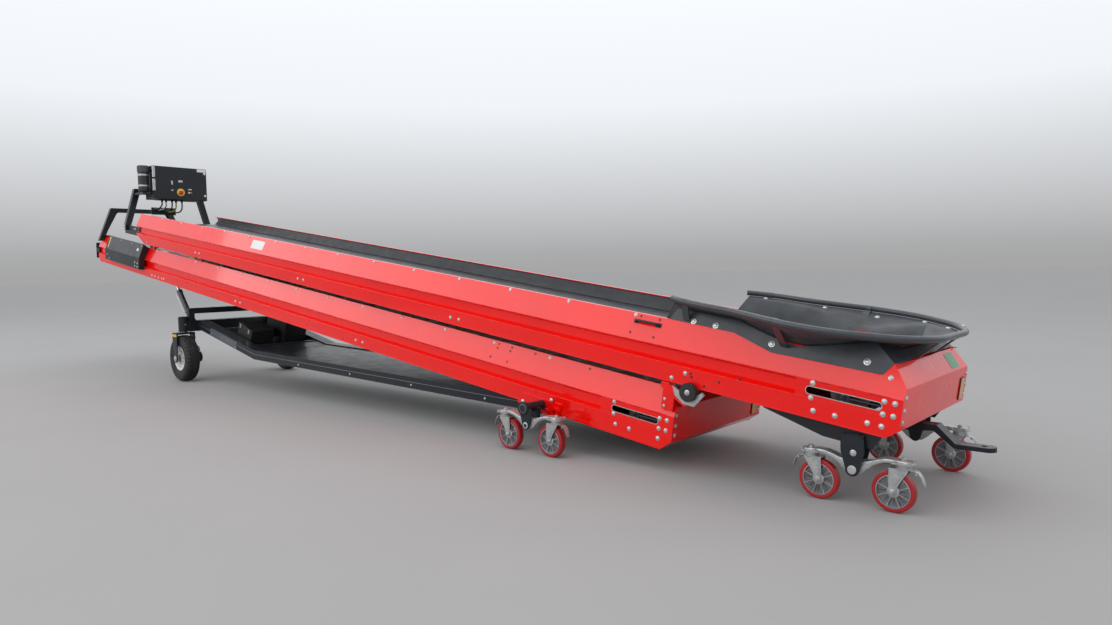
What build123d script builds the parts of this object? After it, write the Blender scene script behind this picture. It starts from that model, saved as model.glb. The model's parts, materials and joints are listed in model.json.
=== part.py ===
from build123d import *
import os
from collections import namedtuple
from math import atan2, cos, degrees, hypot, radians, sin, tan

# Mobile telescopic belt conveyor: two belt conveyors lie one on the other, the upper one rolls
# out along the lower one, and both rest on a steered two-wheel undercarriage and caster bogies.
# Millimetres. +X points to the low feed end, -Y is the near side, +Z is up.
# The origin lies on the ground in the middle of the stored machine.
# Conveyor places are (s, y, n): s runs uphill from the upper conveyor's lower feed corner,
# and n stands square to the slope above that corner.

# Layout
ALPHA = 7.8                    # slope of both conveyors, degrees
Z_FEED = 354                   # height of the upper conveyor's lower feed corner
UPPER_HEAD = 8920              # upper conveyor's length
LOWER_FEED = 1180              # where the lower conveyor starts and ends along the same slope
LOWER_HEAD = 10200
LAMP_GAP = 126.4               # from the lower conveyor's end back to the lamp boards
LAMP_DEPTH = 68
TOW_REACH = 345                # from the feed corner forward to the drawbar's tip
LAMP_X = LOWER_HEAD * cos(radians(ALPHA)) + LAMP_GAP
X_FEED = (LAMP_X + LAMP_DEPTH - TOW_REACH) / 2
STACK_DROP = 382               # how far the lower conveyor lies under the upper one
FIT = 0.3                      # gap between pieces that seat on each other
RUN = 0.2                      # radial gap at pins and axles

# Conveyor frames, folded sheet
FRAME_W = 1040                 # over both side frames
OUTER = FRAME_W / 2
SHEET = 5
FRAME_H = 338                  # side frame height
RIDGE_N = 101                  # top of the lower flat web
RECESS_LOW_N = 118
RECESS_HIGH_N = 172
FOLD_N = 190                   # where the slanted top panel starts
RECESS = 28                    # depth of the long groove
TOP_INSET = 60                 # slanted panel's lean over its height
LIP_TOP = 25
LIP_BOTTOM = 50
LEAN = TOP_INSET / (FRAME_H - FOLD_N)

# Belts and drums
BELT_EDGE = 120                # from a side frame's outer face to the belt
BELT_W = FRAME_W - 2 * BELT_EDGE
BELT_T = 8
DRUM_R = 97
AXLE_N = 139                   # drum centre above the frame's lower edge
SLOT_H = 35                    # take-up slot
BED_T = 4                      # slider bed under the carrying run
IDLER_R = 17

# One row for each conveyor, distances along s
Belt = namedtuple("Belt", "base feed head nose drum_feed drum_head slot flush_end head_cut")
UPPER = Belt(0, 0, UPPER_HEAD, 56, 220, UPPER_HEAD - 120, (36, 401), 450, (240, 100))
LOWER = Belt(-STACK_DROP, LOWER_FEED, LOWER_HEAD, 51, LOWER_FEED + 220, LOWER_HEAD - 150,
             (LOWER_FEED + 51, LOWER_FEED + 382), LOWER_FEED + 460, (60, 60))
NOSE_LOW_N = 46                # end plate's vertical face starts here
NOSE_HIGH_N = 241              # and ends here

# Pivots
HINGE = (-2140, 285)           # lift hinge, x from the feed corner and z
HINGE_R = 30
TILT_S = UPPER_HEAD - 320      # axle of the carriage that carries the upper conveyor's head
TILT_N = 25
TILT_R = 12
EYE_S = 7852                   # lift cylinder's rod eye
EYE_N = -350
CYL_Y = OUTER - 35
CYL_BASE = (-7475, 690)        # lift cylinder's foot, x from the feed corner and z

# Undercarriage
WHEEL_X = -7390                # steered wheels, from the feed corner
WHEEL_Y = OUTER + 80
TYRE_R = 250
TYRE_W = 145
RIM_R = 130
BEAM_Y = (OUTER - 180, OUTER - 60)
BEAM_H = 90
AXLE_Z = (540, 650)
BOGIE_UPPER = (-155, OUTER - 60)  # rocker pivot, x from the feed corner and y
BOGIE_LOWER = (HINGE[0] + 20, OUTER + 140)
PIVOT_Z = 180
SWIVEL_PITCH = 220             # swivel axes each side of the rocker pivot
TRAIL = 42
PIVOT_R = 12
CASTER_R = 100
CASTER_W = 44
CASTER_H = 240                 # ground to the top of the caster plate


# Helpers

def block(x, y, z):
    """A box between pairs of limits."""
    size = [high - low for low, high in (x, y, z)]
    middle = [(high + low) / 2 for low, high in (x, y, z)]
    return Pos(*middle) * Box(*size)


def belt_block(s, y, n):
    """The same in a conveyor's own frame."""
    return block((-s[1], -s[0]), y, n)


def bar_y(x, z, y, r):
    """Round bar along Y between two values of y."""
    return Pos(x, (y[0] + y[1]) / 2, z) * Rot(90, 0, 0) * Cylinder(r, y[1] - y[0])


def bar_z(x, y, z, r):
    """Round bar along Z between two values of z."""
    return Pos(x, y, (z[0] + z[1]) / 2) * Cylinder(r, z[1] - z[0])


def plate_xz(points, y):
    """A plate whose outline is given in X and Z, between two values of y."""
    plane = Plane((0, y[1], 0), x_dir=(1, 0, 0), z_dir=(0, -1, 0))
    return extrude(plane * make_face(Polyline(*points, close=True)), y[1] - y[0])


def belt_plate(points, y):
    """The same with an outline of (s, n)."""
    return plate_xz([(-s, n) for s, n in points], y)


def bar_x(points, x):
    """A bar along X with an outline in Y and Z."""
    plane = Plane((x[0], 0, 0), x_dir=(0, 1, 0), z_dir=(1, 0, 0))
    return extrude(plane * make_face(Polyline(*points, close=True)), x[1] - x[0])


def folded(points, thick):
    """Outline of a folded sheet: the given outer line and its copy to the left of it."""
    inner = []
    for i, (x, y) in enumerate(points):
        before = points[max(i - 1, 0)]
        after = points[min(i + 1, len(points) - 1)]
        here = (x, y)
        first = direction(before, here) if i > 0 else direction(here, after)
        last = direction(here, after) if i < len(points) - 1 else first
        scale = thick / (1 + first[0] * last[0] + first[1] * last[1])
        inner.append((x - (first[1] + last[1]) * scale, y + (first[0] + last[0]) * scale))
    return points + inner[::-1]


def direction(a, b):
    """Unit vector from a to b."""
    length = hypot(b[0] - a[0], b[1] - a[1])
    return ((b[0] - a[0]) / length, (b[1] - a[1]) / length)


def round_tube(points, radius, bend):
    """Round bar along straight runs joined by bends."""
    path = FilletPolyline(*points, radius=bend)
    return sweep(Plane(path @ 0, z_dir=path % 0) * Circle(radius), path)


def both_sides(make):
    """What make gives for the near and the far side, as one list."""
    return [make(-1), make(1)]


def joined(pieces):
    """Fuse a list of solids."""
    whole = pieces[0]
    for piece in pieces[1:]:
        whole = whole + piece
    return whole


def span(side, low, high):
    """Limits in y on one side, given as distances from the middle."""
    return (low, high) if side > 0 else (-high, -low)


def on_slope(part):
    """Move a part from a conveyor's own frame to the machine."""
    return Location((X_FEED, 0, Z_FEED), (0, ALPHA, 0)) * part


def slope_z(x, n):
    """Z where a height n on the slope passes over an x given from the feed corner."""
    return Z_FEED - x * tan(radians(ALPHA)) + n / cos(radians(ALPHA))


def slope_point(s, n):
    """X and Z in the machine of a place on the conveyor's slope."""
    x = X_FEED - s * cos(radians(ALPHA)) + n * sin(radians(ALPHA))
    z = Z_FEED + s * sin(radians(ALPHA)) + n * cos(radians(ALPHA))
    return (x, z)


def save(name, part):
    """Write one node."""
    solids = part if isinstance(part, list) else [part]
    shape = solids[0] if len(solids) == 1 else Compound(children=[s for p in solids for s in p.solids()])
    export_step(shape, "parts/" + name + ".step")


# Side frames

def side_outline(side, recess):
    """Section of one side frame in (y, n), from the lower lip to the upper lip."""
    groove = [(0, RIDGE_N), (RECESS, RECESS_LOW_N), (RECESS, RECESS_HIGH_N)] if recess else []
    inset = [(LIP_BOTTOM, 0), (0, 0)] + groove + [(0, FOLD_N), (TOP_INSET, FRAME_H)]
    inset.append((TOP_INSET + LIP_TOP, FRAME_H))
    line = [(OUTER - d, n) for d, n in inset]
    return [(side * y, n) for y, n in folded(line, SHEET)]


def end_outline(belt):
    """Side view of a side frame in (s, n), with the sloped nose and the cut head corner."""
    cut_s, cut_n = belt.head_cut
    slope = (FRAME_H - NOSE_HIGH_N) / 77 * 64
    return [(belt.feed, 0), (belt.feed - belt.nose, NOSE_LOW_N), (belt.feed - belt.nose, NOSE_HIGH_N),
            (belt.feed - belt.nose + slope, FRAME_H), (belt.head, FRAME_H),
            (belt.head, cut_n), (belt.head - cut_s, 0)]


def slot(belt, y):
    """Long hole for the feed drum's axle."""
    r = SLOT_H / 2
    s0, s1 = belt.slot
    ends = [bar_y(-s, AXLE_N, y, r) for s in (s0 + r, s1 - r)]
    return joined([belt_block((s0 + r, s1 - r), y, (AXLE_N - r, AXLE_N + r))] + ends)


def side_frame(belt, side):
    """One folded side frame in its conveyor's own frame, n from the lower edge."""
    across = span(side, OUTER - TOP_INSET - LIP_TOP, OUTER)
    flush = bar_x(side_outline(side, False), (-belt.flush_end, belt.nose - belt.feed))
    grooved = bar_x(side_outline(side, True), (-belt.head, -belt.flush_end))
    stop = belt_block((belt.flush_end, belt.flush_end + SHEET), span(side, OUTER - RECESS - SHEET, OUTER),
                      (RIDGE_N, FOLD_N))
    frame = (flush + grooved + stop) & belt_plate(end_outline(belt), across)
    web = span(side, OUTER - 2 * SHEET, OUTER + SHEET)
    frame = frame - slot(belt, web)
    head_axle = bar_y(-belt.drum_head, AXLE_N, span(side, OUTER - RECESS - 2 * SHEET, OUTER), SLOT_H / 2)
    return frame - head_axle


# Parts that both conveyors have

def belt_loop(belt):
    """Flat belt round both drums: the carrying run, the return run and a wrap at each drum."""
    y = (-BELT_W / 2, BELT_W / 2)
    along = (belt.drum_feed, belt.drum_head)
    outer = DRUM_R + BELT_T
    carrying = belt_block(along, y, (AXLE_N + DRUM_R, AXLE_N + outer))
    returning = belt_block(along, y, (AXLE_N - outer, AXLE_N - DRUM_R))
    wraps = []
    for s, reach in ((along[0], (along[0] - outer - 1, along[0])), (along[1], (along[1], along[1] + outer + 1))):
        ring = bar_y(-s, AXLE_N, y, outer) - bar_y(-s, AXLE_N, y, DRUM_R)
        wraps.append(ring & belt_block(reach, y, (AXLE_N - outer - 1, AXLE_N + outer + 1)))
    return [carrying, returning] + wraps


def drums(belt, idler_places):
    """Feed and head drums with their axles, and the return run's idlers."""
    half = BELT_W / 2 + 20
    rollers = []
    for s, reach in ((belt.drum_feed, OUTER - 2), (belt.drum_head, OUTER - RECESS - 2)):
        axle = bar_y(-s, AXLE_N, (-reach, reach), SLOT_H / 2 - FIT)
        rollers.append(bar_y(-s, AXLE_N, (-half, half), DRUM_R - FIT) + axle)
    reach = OUTER - SHEET - FIT
    for s in idler_places:
        n = AXLE_N - DRUM_R - BELT_T - FIT - IDLER_R
        rollers.append(bar_y(-s, n, (-half, half), IDLER_R) + bar_y(-s, n, (-reach, reach), IDLER_R / 2))
    return rollers


def bed(belt, tube_places):
    """Slider bed under the carrying run, on cross tubes between the side frames."""
    top = AXLE_N + DRUM_R - FIT
    ends = (belt.drum_feed + DRUM_R + 15, belt.drum_head - DRUM_R - 15)
    half = BELT_W / 2 + 30
    pieces = [belt_block(ends, (-half, half), (top - BED_T, top))]
    reach = OUTER - RECESS - SHEET - FIT
    for s in tube_places:
        pieces.append(belt_block((s - 30, s + 30), (-reach, reach), (RECESS_LOW_N + 4, RECESS_HIGH_N - 4)))
        for y in (-300, 300):
            pieces.append(belt_block((s - 20, s + 20), (y - 4, y + 4), (RECESS_HIGH_N - 4, top - BED_T)))
    return joined(pieces)


def end_plate(belt):
    """Folded plate that closes the feed end between the side frames."""
    top_s = (FRAME_H - SHEET - NOSE_HIGH_N) / 77 * 64
    line = [(belt.feed + 60, 0), (belt.feed, 0), (belt.feed - belt.nose, NOSE_LOW_N),
            (belt.feed - belt.nose, NOSE_HIGH_N), (belt.feed - belt.nose + top_s, FRAME_H - SHEET)]
    reach = OUTER - SHEET - FIT
    sheet = plate_xz(folded([(-s, n) for s, n in line], SHEET), (-reach, reach))
    top = OUTER - TOP_INSET - SHEET * 1.1 - FIT
    roof = FRAME_H - SHEET - FIT
    fold = FOLD_N - SHEET / 2
    inside = [(-reach, -1), (-reach, fold), (-top, roof), (top, roof), (reach, fold), (reach, -1)]
    sheet = sheet & bar_x(inside, (-belt.feed - 100, -belt.feed + 100))
    lips = [belt_block((belt.feed - 8, belt.feed + 61), span(side, OUTER - LIP_BOTTOM - FIT, OUTER),
                       (-1, SHEET + FIT)) for side in (-1, 1)]
    return sheet - lips[0] - lips[1]


def skirts(belt, s_ends):
    """Dark rubber strips that lean in from the frame's upper lips to the belt."""
    def strip(side):
        top_y = OUTER - TOP_INSET - SHEET * 2.6
        foot = (BELT_W / 2 - 15, AXLE_N + DRUM_R + BELT_T + 11)
        line = folded([(top_y, FRAME_H - SHEET - FIT), foot], SHEET)
        return bar_x([(side * y, n) for y, n in line], (-s_ends[1], -s_ends[0]))
    return both_sides(strip)


# Upper conveyor

def upper_side(side):
    """Upper side frame with the hole for the carriage's stub axle."""
    hole = bar_y(-TILT_S, TILT_N, span(side, OUTER - 2 * SHEET, OUTER + 1), TILT_R + RUN)
    return side_frame(UPPER, side) - hole


COLLAR_T = 3
COLLAR_FOOT = (26, FRAME_H + 1)  # foot of the front plate, (s, n)
COLLAR_PEAK = (131, 419)
# Side plate of the hopper collar, outline in (s, n)
COLLAR_SIDE = [(1261, 340), (856, 335), (622, 276), (64, 281), COLLAR_FOOT, COLLAR_PEAK, (368, 356),
               (489, 331), (604, 344), (735, 373), (840, 400), (1232, 404)]


def lean_y(n):
    """Outer y of the slanted top panel at a height n, carried on above the frame."""
    return OUTER - (n - FOLD_N) * LEAN


def hopper_collar():
    """Two side plates on the slanted panels and a front plate between their peaks."""
    plates = []
    for side in (-1, 1):
        low = min(n for s, n in COLLAR_SIDE)
        high = max(n for s, n in COLLAR_SIDE)
        foot = lean_y(low) + FIT
        head = lean_y(high) + FIT
        skin = [(side * foot, low), (side * head, high), (side * (head + COLLAR_T), high),
                (side * (foot + COLLAR_T), low)]
        prism = belt_plate(COLLAR_SIDE, span(side, OUTER / 2, OUTER + 100))
        plates.append(bar_x(skin, (-COLLAR_SIDE[0][0] - 1, 0)) & prism)
    peak_s, peak_n = COLLAR_PEAK
    foot_s, foot_n = COLLAR_FOOT
    half_low = lean_y(foot_n) + FIT + COLLAR_T
    half_high = lean_y(peak_n) + FIT + COLLAR_T
    notch = 45
    line = folded([(-foot_s, foot_n), (-peak_s, peak_n)], COLLAR_T)
    front = plate_xz(line, (-half_low, half_low))
    outline = [(-half_low, foot_n), (half_low, foot_n), (half_high, peak_n), (0.55 * half_high, peak_n - notch),
               (-0.55 * half_high, peak_n - notch), (-half_high, peak_n)]
    front = front & bar_x(outline, (-peak_s - 9, -foot_s + 9))
    return joined([plates[0], front, plates[1]])


RAIL_R = 17
RAIL_N = 455
# Plan of the hopper rail, (s, y) on one side from the rear end to the front
RAIL_FRONT = -90
RAIL_WIDE = OUTER + 130
RAIL_PLAN = [(1268, OUTER - 80), (1130, OUTER - 5), (860, OUTER + 15), (500, RAIL_WIDE), (270, RAIL_WIDE),
             (30, OUTER - 40), (RAIL_FRONT, OUTER - 270)]
RAIL_BEND = 400
RAIL_POSTS = ((1150, OUTER - 18, 352), (560, OUTER + 108, 318))  # posts on the collar's sides, (s, y, foot n)
FRONT_POST_Y = 150


def hopper_rail():
    """Tube hoop round the hopper, on posts that stand on the collar."""
    far = [(-s, y, RAIL_N) for s, y in RAIL_PLAN]
    near = [(x, -y, z) for x, y, z in far]
    pieces = [round_tube(far + near[::-1], RAIL_R, RAIL_BEND)]
    for side in (-1, 1):
        for s, y, foot_n in RAIL_POSTS:
            inner = lean_y(foot_n) + COLLAR_T + 2 * FIT
            post = [(inner, foot_n), (inner + 12, foot_n), (y + 4, RAIL_N - 8), (y - 6, RAIL_N)]
            pieces.append(bar_x([(side * u, n) for u, n in post], (-s - 20, -s + 20)))
        line = [(20, FRAME_H + 3), (10, FRAME_H + 3), (RAIL_FRONT, RAIL_N - 6), (RAIL_FRONT + 12, RAIL_N - 6)]
        pieces.append(belt_plate(line, span(side, FRONT_POST_Y - 15, FRONT_POST_Y + 15)))
    return joined(pieces)


FLAP_T = 6
FLAP_TOP = RAIL_N - RAIL_R - FIT - FLAP_T
# Outer face of the apron from its lower edge to under the rail
FLAP_LOW = 285
FLAP_WIDE = RAIL_WIDE + 5
FLAP_SIDE = [(OUTER - 115, FLAP_LOW), (OUTER - 108, 418), (OUTER - 40, FLAP_TOP), (FLAP_WIDE, FLAP_TOP)]  # (y, n)
FLAP_FRONT = [(165, FLAP_LOW), (146, 424), (30, FLAP_TOP), (RAIL_FRONT - 5, FLAP_TOP)]  # (s, n)
FLAP_END = RAIL_PLAN[0][0] - 12


def hopper_flap():
    """Rubber apron that hangs from the rail into the trough on three sides."""
    roof = FLAP_TOP + FLAP_T
    front_line = [(-s, n) for s, n in FLAP_FRONT]
    front_x = front_line[-1][0]
    wide = (-FLAP_WIDE, FLAP_WIDE)
    behind = plate_xz(front_line + [(front_x, roof), (-FLAP_END, roof), (-FLAP_END, FLAP_LOW)], wide)
    far_line = FLAP_SIDE + [(FLAP_WIDE, roof)]
    between = bar_x(far_line + [(-y, n) for y, n in far_line[::-1]], (-FLAP_END, front_x))
    pieces = [plate_xz(folded(front_line, FLAP_T), wide) & between]
    for side in (-1, 1):
        sheet = [(side * y, n) for y, n in folded(FLAP_SIDE, FLAP_T)]
        pieces.append(bar_x(sheet, (-FLAP_END, front_x)) & behind)
    outline = [(-s, y) for s, y in RAIL_PLAN]
    plan = make_face(Polyline(*outline, *[(x, -y) for x, y in outline[::-1]], close=True))
    flap = joined(pieces) & extrude(plan, roof + 1)
    for side in (-1, 1):
        for s, y, foot_n in RAIL_POSTS:
            flap = flap - belt_block((s - 23, s + 23), span(side, y - 36, y + 30), (FLAP_TOP - 1, roof + 1))
        flap = flap - belt_block((RAIL_FRONT - 6, RAIL_FRONT + 34), span(side, FRONT_POST_Y - 18, FRONT_POST_Y + 18),
                                 (FLAP_TOP - 1, roof + 1))
    return flap


def upper_axle():
    """Plates under the side frames, a cross tube, and the ears that carry the feed bogies."""
    x0 = X_FEED + BOGIE_UPPER[0]
    y0 = BOGIE_UPPER[1]
    tube_z = (298, 352)
    pieces = [block((x0 - 30, x0 + 30), (-y0 - 45, y0 + 45), tube_z)]
    for side in (-1, 1):
        gusset = [(20, -FIT), (640, -FIT), (625, -14), (300, -78), (60, -78)]
        pieces.append(on_slope(belt_plate(gusset, span(side, OUTER - 46, OUTER - 34))))
        for y in (y0 - 45, y0 + 35):
            pieces.append(ear(x0, span(side, y, y + 10), tube_z[1] - 4))
        pieces.append(bar_y(x0, PIVOT_Z, span(side, y0 - 52, y0 + 52), PIVOT_R))
    return joined(pieces)


def ear(x, y, top):
    """Rounded bracket plate from a tube down to a rocker pin."""
    outline = [(x - 52, top), (x + 52, top), (x + 52, 268), (x + 28, PIVOT_Z), (x - 28, PIVOT_Z), (x - 52, 268)]
    return plate_xz(outline, y) + bar_y(x, PIVOT_Z, y, 28)


TONGUE_T = 22
TOW_HOLE_R = 14
TOW_HOLE_BACK = 55             # from the tongue's tip to the hole's centre
TONGUE_Z = 262


def drawbar():
    """Centre bar from the feed axle to a flat towing tongue."""
    tip = X_FEED + TOW_REACH
    back = X_FEED + BOGIE_UPPER[0] + 30 + FIT
    top = TONGUE_Z
    line = [(back, 346), (X_FEED + 85, 346), (X_FEED + 172, top), (tip, top)]
    low = [(tip, top - TONGUE_T), (X_FEED + 165, top - TONGUE_T), (X_FEED + 70, 316), (back, 300)]
    bar = plate_xz(line + low, (-40, 40))
    corner = block((tip - 25, tip + 1), (-41, 41), (top - TONGUE_T - 1, top + 1))
    nose = bar_z(tip - 40, 0, (top - TONGUE_T, top), 40)
    bar = bar - corner + (nose & block((tip - 80, tip), (-40, 40), (top - TONGUE_T, top)))
    hole = bar_z(tip - TOW_HOLE_BACK, 0, (top - TONGUE_T - 1, top + 1), TOW_HOLE_R)
    return bar - hole


ARCH_X = -UPPER_HEAD * cos(radians(ALPHA)) - 312.5  # middle of the control arch, from the feed corner
ARCH_TUBE = 60
ARCH_H = 425                   # from the legs' feet to the middle of the top tube
BRACKET_N = (70, 176)          # the arch's brackets behind the upper conveyor's head
BRACKET_LAP = 60               # how far they reach into the side frames' grooves
BRACKET_T = 10
ARCH_FOOT = (OUTER - 20, slope_z(ARCH_X, BRACKET_N[1]) - 10)    # y and z where a leg starts
ARCH_TOP = (OUTER - 140, ARCH_FOOT[1] + ARCH_H)
ARM_Z = (ARCH_TOP[1] - 10, ARCH_TOP[1] + 25)
CAB_X = (ARCH_X + 160, ARCH_X + 375)  # cabinet, from the feed corner
CAB_Y = (195 - OUTER, OUTER - 195)
CAB_Z = (ARCH_TOP[1] - 110, ARCH_TOP[1] + 290)
CAB_WALL = 4
DOOR_T = 25
DOOR_GAP = 0.5
DOOR_HINGE_R = 7
CONTROLS_Z = CAB_Z[0] + 90      # main switch and buttons on the door
SWITCH_Y = 0
BUTTON_Y = (98, 126)
TUBE_R = 62                    # document tube
TUBE_CAP_R = TUBE_R + 4
TUBE_CAP = 80
TUBE_AT = (CAB_X[1] - 85, CAB_Y[0] - TUBE_CAP_R - 3)  # its x from the feed corner and y
TUBE_Z = (CAB_Z[1] - 315, CAB_Z[1])
TUBE_ARM = 20                  # half the width of the arm under it


def head_brackets():
    """Plates in the side frames' grooves that reach past the upper conveyor's head."""
    start, step, end = (UPPER_HEAD - BRACKET_LAP, UPPER_HEAD + 15, UPPER_HEAD + 400)
    low, high = (RECESS_LOW_N + 4, RECESS_HIGH_N - 4)
    line = [(start, low), (step, low), (step + 25, BRACKET_N[0]), (end, BRACKET_N[0]), (end, BRACKET_N[1]),
            (step, BRACKET_N[1]), (step, high), (start, high)]
    web = OUTER - RECESS
    return both_sides(lambda side: on_slope(belt_plate(line, span(side, web + FIT, web + BRACKET_T))))


def trapezoid_hoop(x, foot, top, size):
    """Square tube frame across the machine with leaning legs, outline in (y, z)."""
    half = size / 2
    out = [(-foot[0] - half, foot[1]), (-top[0] - half, top[1] + half), (top[0] + half, top[1] + half),
           (foot[0] + half, foot[1])]
    inside = [(foot[0] - half, foot[1]), (top[0] - half, top[1] - half), (-top[0] + half, top[1] - half),
              (-foot[0] + half, foot[1])]
    return bar_x(out + inside, (x - half, x + half))


def control_arch():
    """Arch behind the head of the upper conveyor, with the arms that hold the cabinet and the tube."""
    x = X_FEED + ARCH_X
    pieces = [trapezoid_hoop(x, ARCH_FOOT, ARCH_TOP, ARCH_TUBE)] + head_brackets()
    for y in (CAB_Y[0] + 100, CAB_Y[1] - 100):
        pieces.append(block((x, X_FEED + CAB_X[0] - FIT), (y - 20, y + 20), ARM_Z))
    arm_y = (TUBE_AT[1] - TUBE_ARM, TUBE_AT[1] + TUBE_ARM)
    pieces.append(block((x, X_FEED + TUBE_AT[0] + TUBE_ARM), arm_y, (TUBE_Z[0] - FIT - 25, TUBE_Z[0] - FIT)))
    return joined(pieces)


def control_cabinet():
    """Hollow cabinet, open at the door."""
    x = (X_FEED + CAB_X[0], X_FEED + CAB_X[1])
    room = block((x[0] + CAB_WALL, x[1] + 1), (CAB_Y[0] + CAB_WALL, CAB_Y[1] - CAB_WALL),
                 (CAB_Z[0] + CAB_WALL, CAB_Z[1] - CAB_WALL))
    return block(x, CAB_Y, CAB_Z) - room


def cabinet_door():
    """Door with its hinge barrels, a switch and two buttons."""
    face = X_FEED + CAB_X[1] + DOOR_GAP
    front = face + DOOR_T
    pieces = [block((face, front), CAB_Y, CAB_Z)]
    pieces.append(Pos(front + 17, SWITCH_Y, CONTROLS_Z) * Rot(0, 90, 0) * Cylinder(26, 34))
    for y in BUTTON_Y:
        pieces.append(Pos(front + 7, y, CONTROLS_Z) * Rot(0, 90, 0) * Cylinder(12, 14))
    for z in (CAB_Z[0] + 60, CAB_Z[1] - 60):
        pieces.append(bar_z(front, CAB_Y[0], (z - 25, z + 25), DOOR_HINGE_R))
    return joined(pieces)


def document_tube():
    """Upright document tube with a cap."""
    x, y = (X_FEED + TUBE_AT[0], TUBE_AT[1])
    low, high = TUBE_Z
    return bar_z(x, y, (low, high - 8), TUBE_R) + bar_z(x, y, (high - TUBE_CAP, high), TUBE_CAP_R)


# Lower conveyor

DEEP_END = LOWER_FEED + 1160   # the feed stretch of the lower sides is this much deeper
DEEP_DROP = 17
NOTCH_S = (EYE_S - 85, EYE_S + 80)
EYE_R = 22
EYE_W = 30


def lower_side(side):
    """Lower side frame with its deeper feed stretch, hinge bore, cylinder bracket and lashing eye."""
    frame = side_frame(LOWER, side)
    deep = [(LOWER.feed, 8), (LOWER.feed, 0), (LOWER.feed + 22, -DEEP_DROP), (DEEP_END, -DEEP_DROP), (DEEP_END, 8)]
    pieces = [frame, belt_plate(deep, span(side, OUTER - SHEET, OUTER))]
    hinge_s, hinge_n = slope_place(*HINGE)
    hinge_n += STACK_DROP
    doubler = [(hinge_s - 150, -38), (hinge_s + 170, -38), (hinge_s + 190, 60), (hinge_s - 160, 60)]
    pieces.append(belt_plate(doubler, span(side, OUTER, OUTER + 8)))
    eye_s = hinge_s - 118
    ring = bar_y(-eye_s, 6, span(side, OUTER, OUTER + 26), 25)
    pieces.append(ring)
    frame = joined(pieces)
    frame = frame - bar_y(-eye_s, 6, span(side, OUTER - LIP_BOTTOM - SHEET, OUTER + 30), LASH_R)
    frame = frame - bar_y(-hinge_s, hinge_n, span(side, OUTER - 60, OUTER + 30), HINGE_R + RUN)
    return cylinder_seat(frame, side)


LASH_R = 14


def slope_place(x, z):
    """Conveyor place (s, n) of an x from the feed corner and a z."""
    a = radians(ALPHA)
    return (-x * cos(a) + (z - Z_FEED) * sin(a), x * sin(a) + (z - Z_FEED) * cos(a))


def cylinder_seat(frame, side):
    """Open the lower lip for a lift cylinder and add the bracket that straddles its rod eye."""
    notch = belt_block(NOTCH_S, span(side, CYL_Y - 35, OUTER - SHEET), (-1, SHEET + 1))
    frame = frame - notch
    eye_n = EYE_N + STACK_DROP
    inner = CYL_Y - EYE_W / 2 - 1 - 8
    shelf_n = eye_n + EYE_R + 22
    shelf = belt_block((EYE_S - 50, EYE_S + 60), span(side, inner, OUTER - SHEET), (shelf_n, shelf_n + 6))
    cheek = belt_block((EYE_S - 50, EYE_S + 60), span(side, inner, inner + 8), (eye_n - 26, shelf_n))
    return joined([frame, shelf, cheek])


COVER_S = (LOWER_HEAD - 1540, LOWER_HEAD - 440)
COVER_T = 4
COVER_LOW = 75
COVER_OUT = OUTER + 60
# Outer face of a head cover in (y, n), from its lower edge to the slanted panel
COVER_LINE = [(OUTER + FIT, COVER_LOW), (COVER_OUT, COVER_LOW), (COVER_OUT, 212), (OUTER + 10, 375),
              (lean_y(326) + FIT, 330)]


def head_covers():
    """Folded drive covers on both sides of the lower conveyor's head."""
    def cover(side):
        skin = bar_x([(side * y, n) for y, n in folded(COVER_LINE, COVER_T)], (-COVER_S[1], -COVER_S[0]))
        solid = COVER_LINE + [(OUTER + FIT, FOLD_N)]
        ends = [bar_x([(side * y, n) for y, n in solid], (-s - COVER_T, -s))
                for s in (COVER_S[0], COVER_S[1] - COVER_T)]
        return joined([skin] + ends)
    return both_sides(cover)


HOOP_X = -LOWER_HEAD * cos(radians(ALPHA)) + 55.6
HOOP_TUBE = 55
HOOP_H = 404                   # from the legs' ends to the middle of the top tube
HOOP_LEG_N = 272               # the legs end beside the slanted panels at this height
HOOP_GAP = 6                   # and this far from them
HOOP_BAR_R = 14


def guard_hoop():
    """Hoop behind the lower conveyor's head, with a rounded inner bar."""
    x = X_FEED + HOOP_X
    foot_n = FRAME_H - STACK_DROP
    foot_z = slope_z(HOOP_X, HOOP_LEG_N - STACK_DROP)
    top_z = foot_z + HOOP_H
    foot_y = lean_y(HOOP_LEG_N) + HOOP_TUBE / 2 + HOOP_GAP
    top_y = foot_y - HOOP_H * LEAN * cos(radians(ALPHA))
    hoop = trapezoid_hoop(x, (foot_y, foot_z), (top_y, top_z), HOOP_TUBE)
    feet = [on_slope(belt_block((LOWER_HEAD - 140, LOWER_HEAD - 10), span(side, OUTER - 83, OUTER - 20),
                                (foot_n + FIT, foot_n + 12))) for side in (-1, 1)]
    wide, narrow = (foot_y - 88, top_y - 50)
    inner = round_tube([(x, -wide, foot_z + 155), (x, -narrow, top_z - 9), (x, narrow, top_z - 9),
                        (x, wide, foot_z + 155)], HOOP_BAR_R, 70)
    return joined([hoop, inner] + feet)


LAMP_N = -253                  # height of the lamp boards' middle on the slope
LAMP_ARM_N = (-270, -208)      # and of the arms that hold them


def tail_lights():
    """Lamp boards on both rear corners."""
    middle = slope_z(-LAMP_X, LAMP_N)
    face = X_FEED - LAMP_X

    def lamp(side):
        board = block((face, face + 8), span(side, OUTER - 140, OUTER), (middle - 100, middle + 100))
        low, high = [slope_point(LOWER.head + FIT, n) for n in LAMP_ARM_N]
        arm = plate_xz([(face + 7, low[1]), low, high, (face + 7, high[1])], span(side, OUTER - 50, OUTER - 5))
        body = block((face - LAMP_DEPTH, face), span(side, OUTER - 120, OUTER - 20), (middle - 80, middle + 80))
        return joined([board, arm, body])
    return both_sides(lamp)


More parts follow.
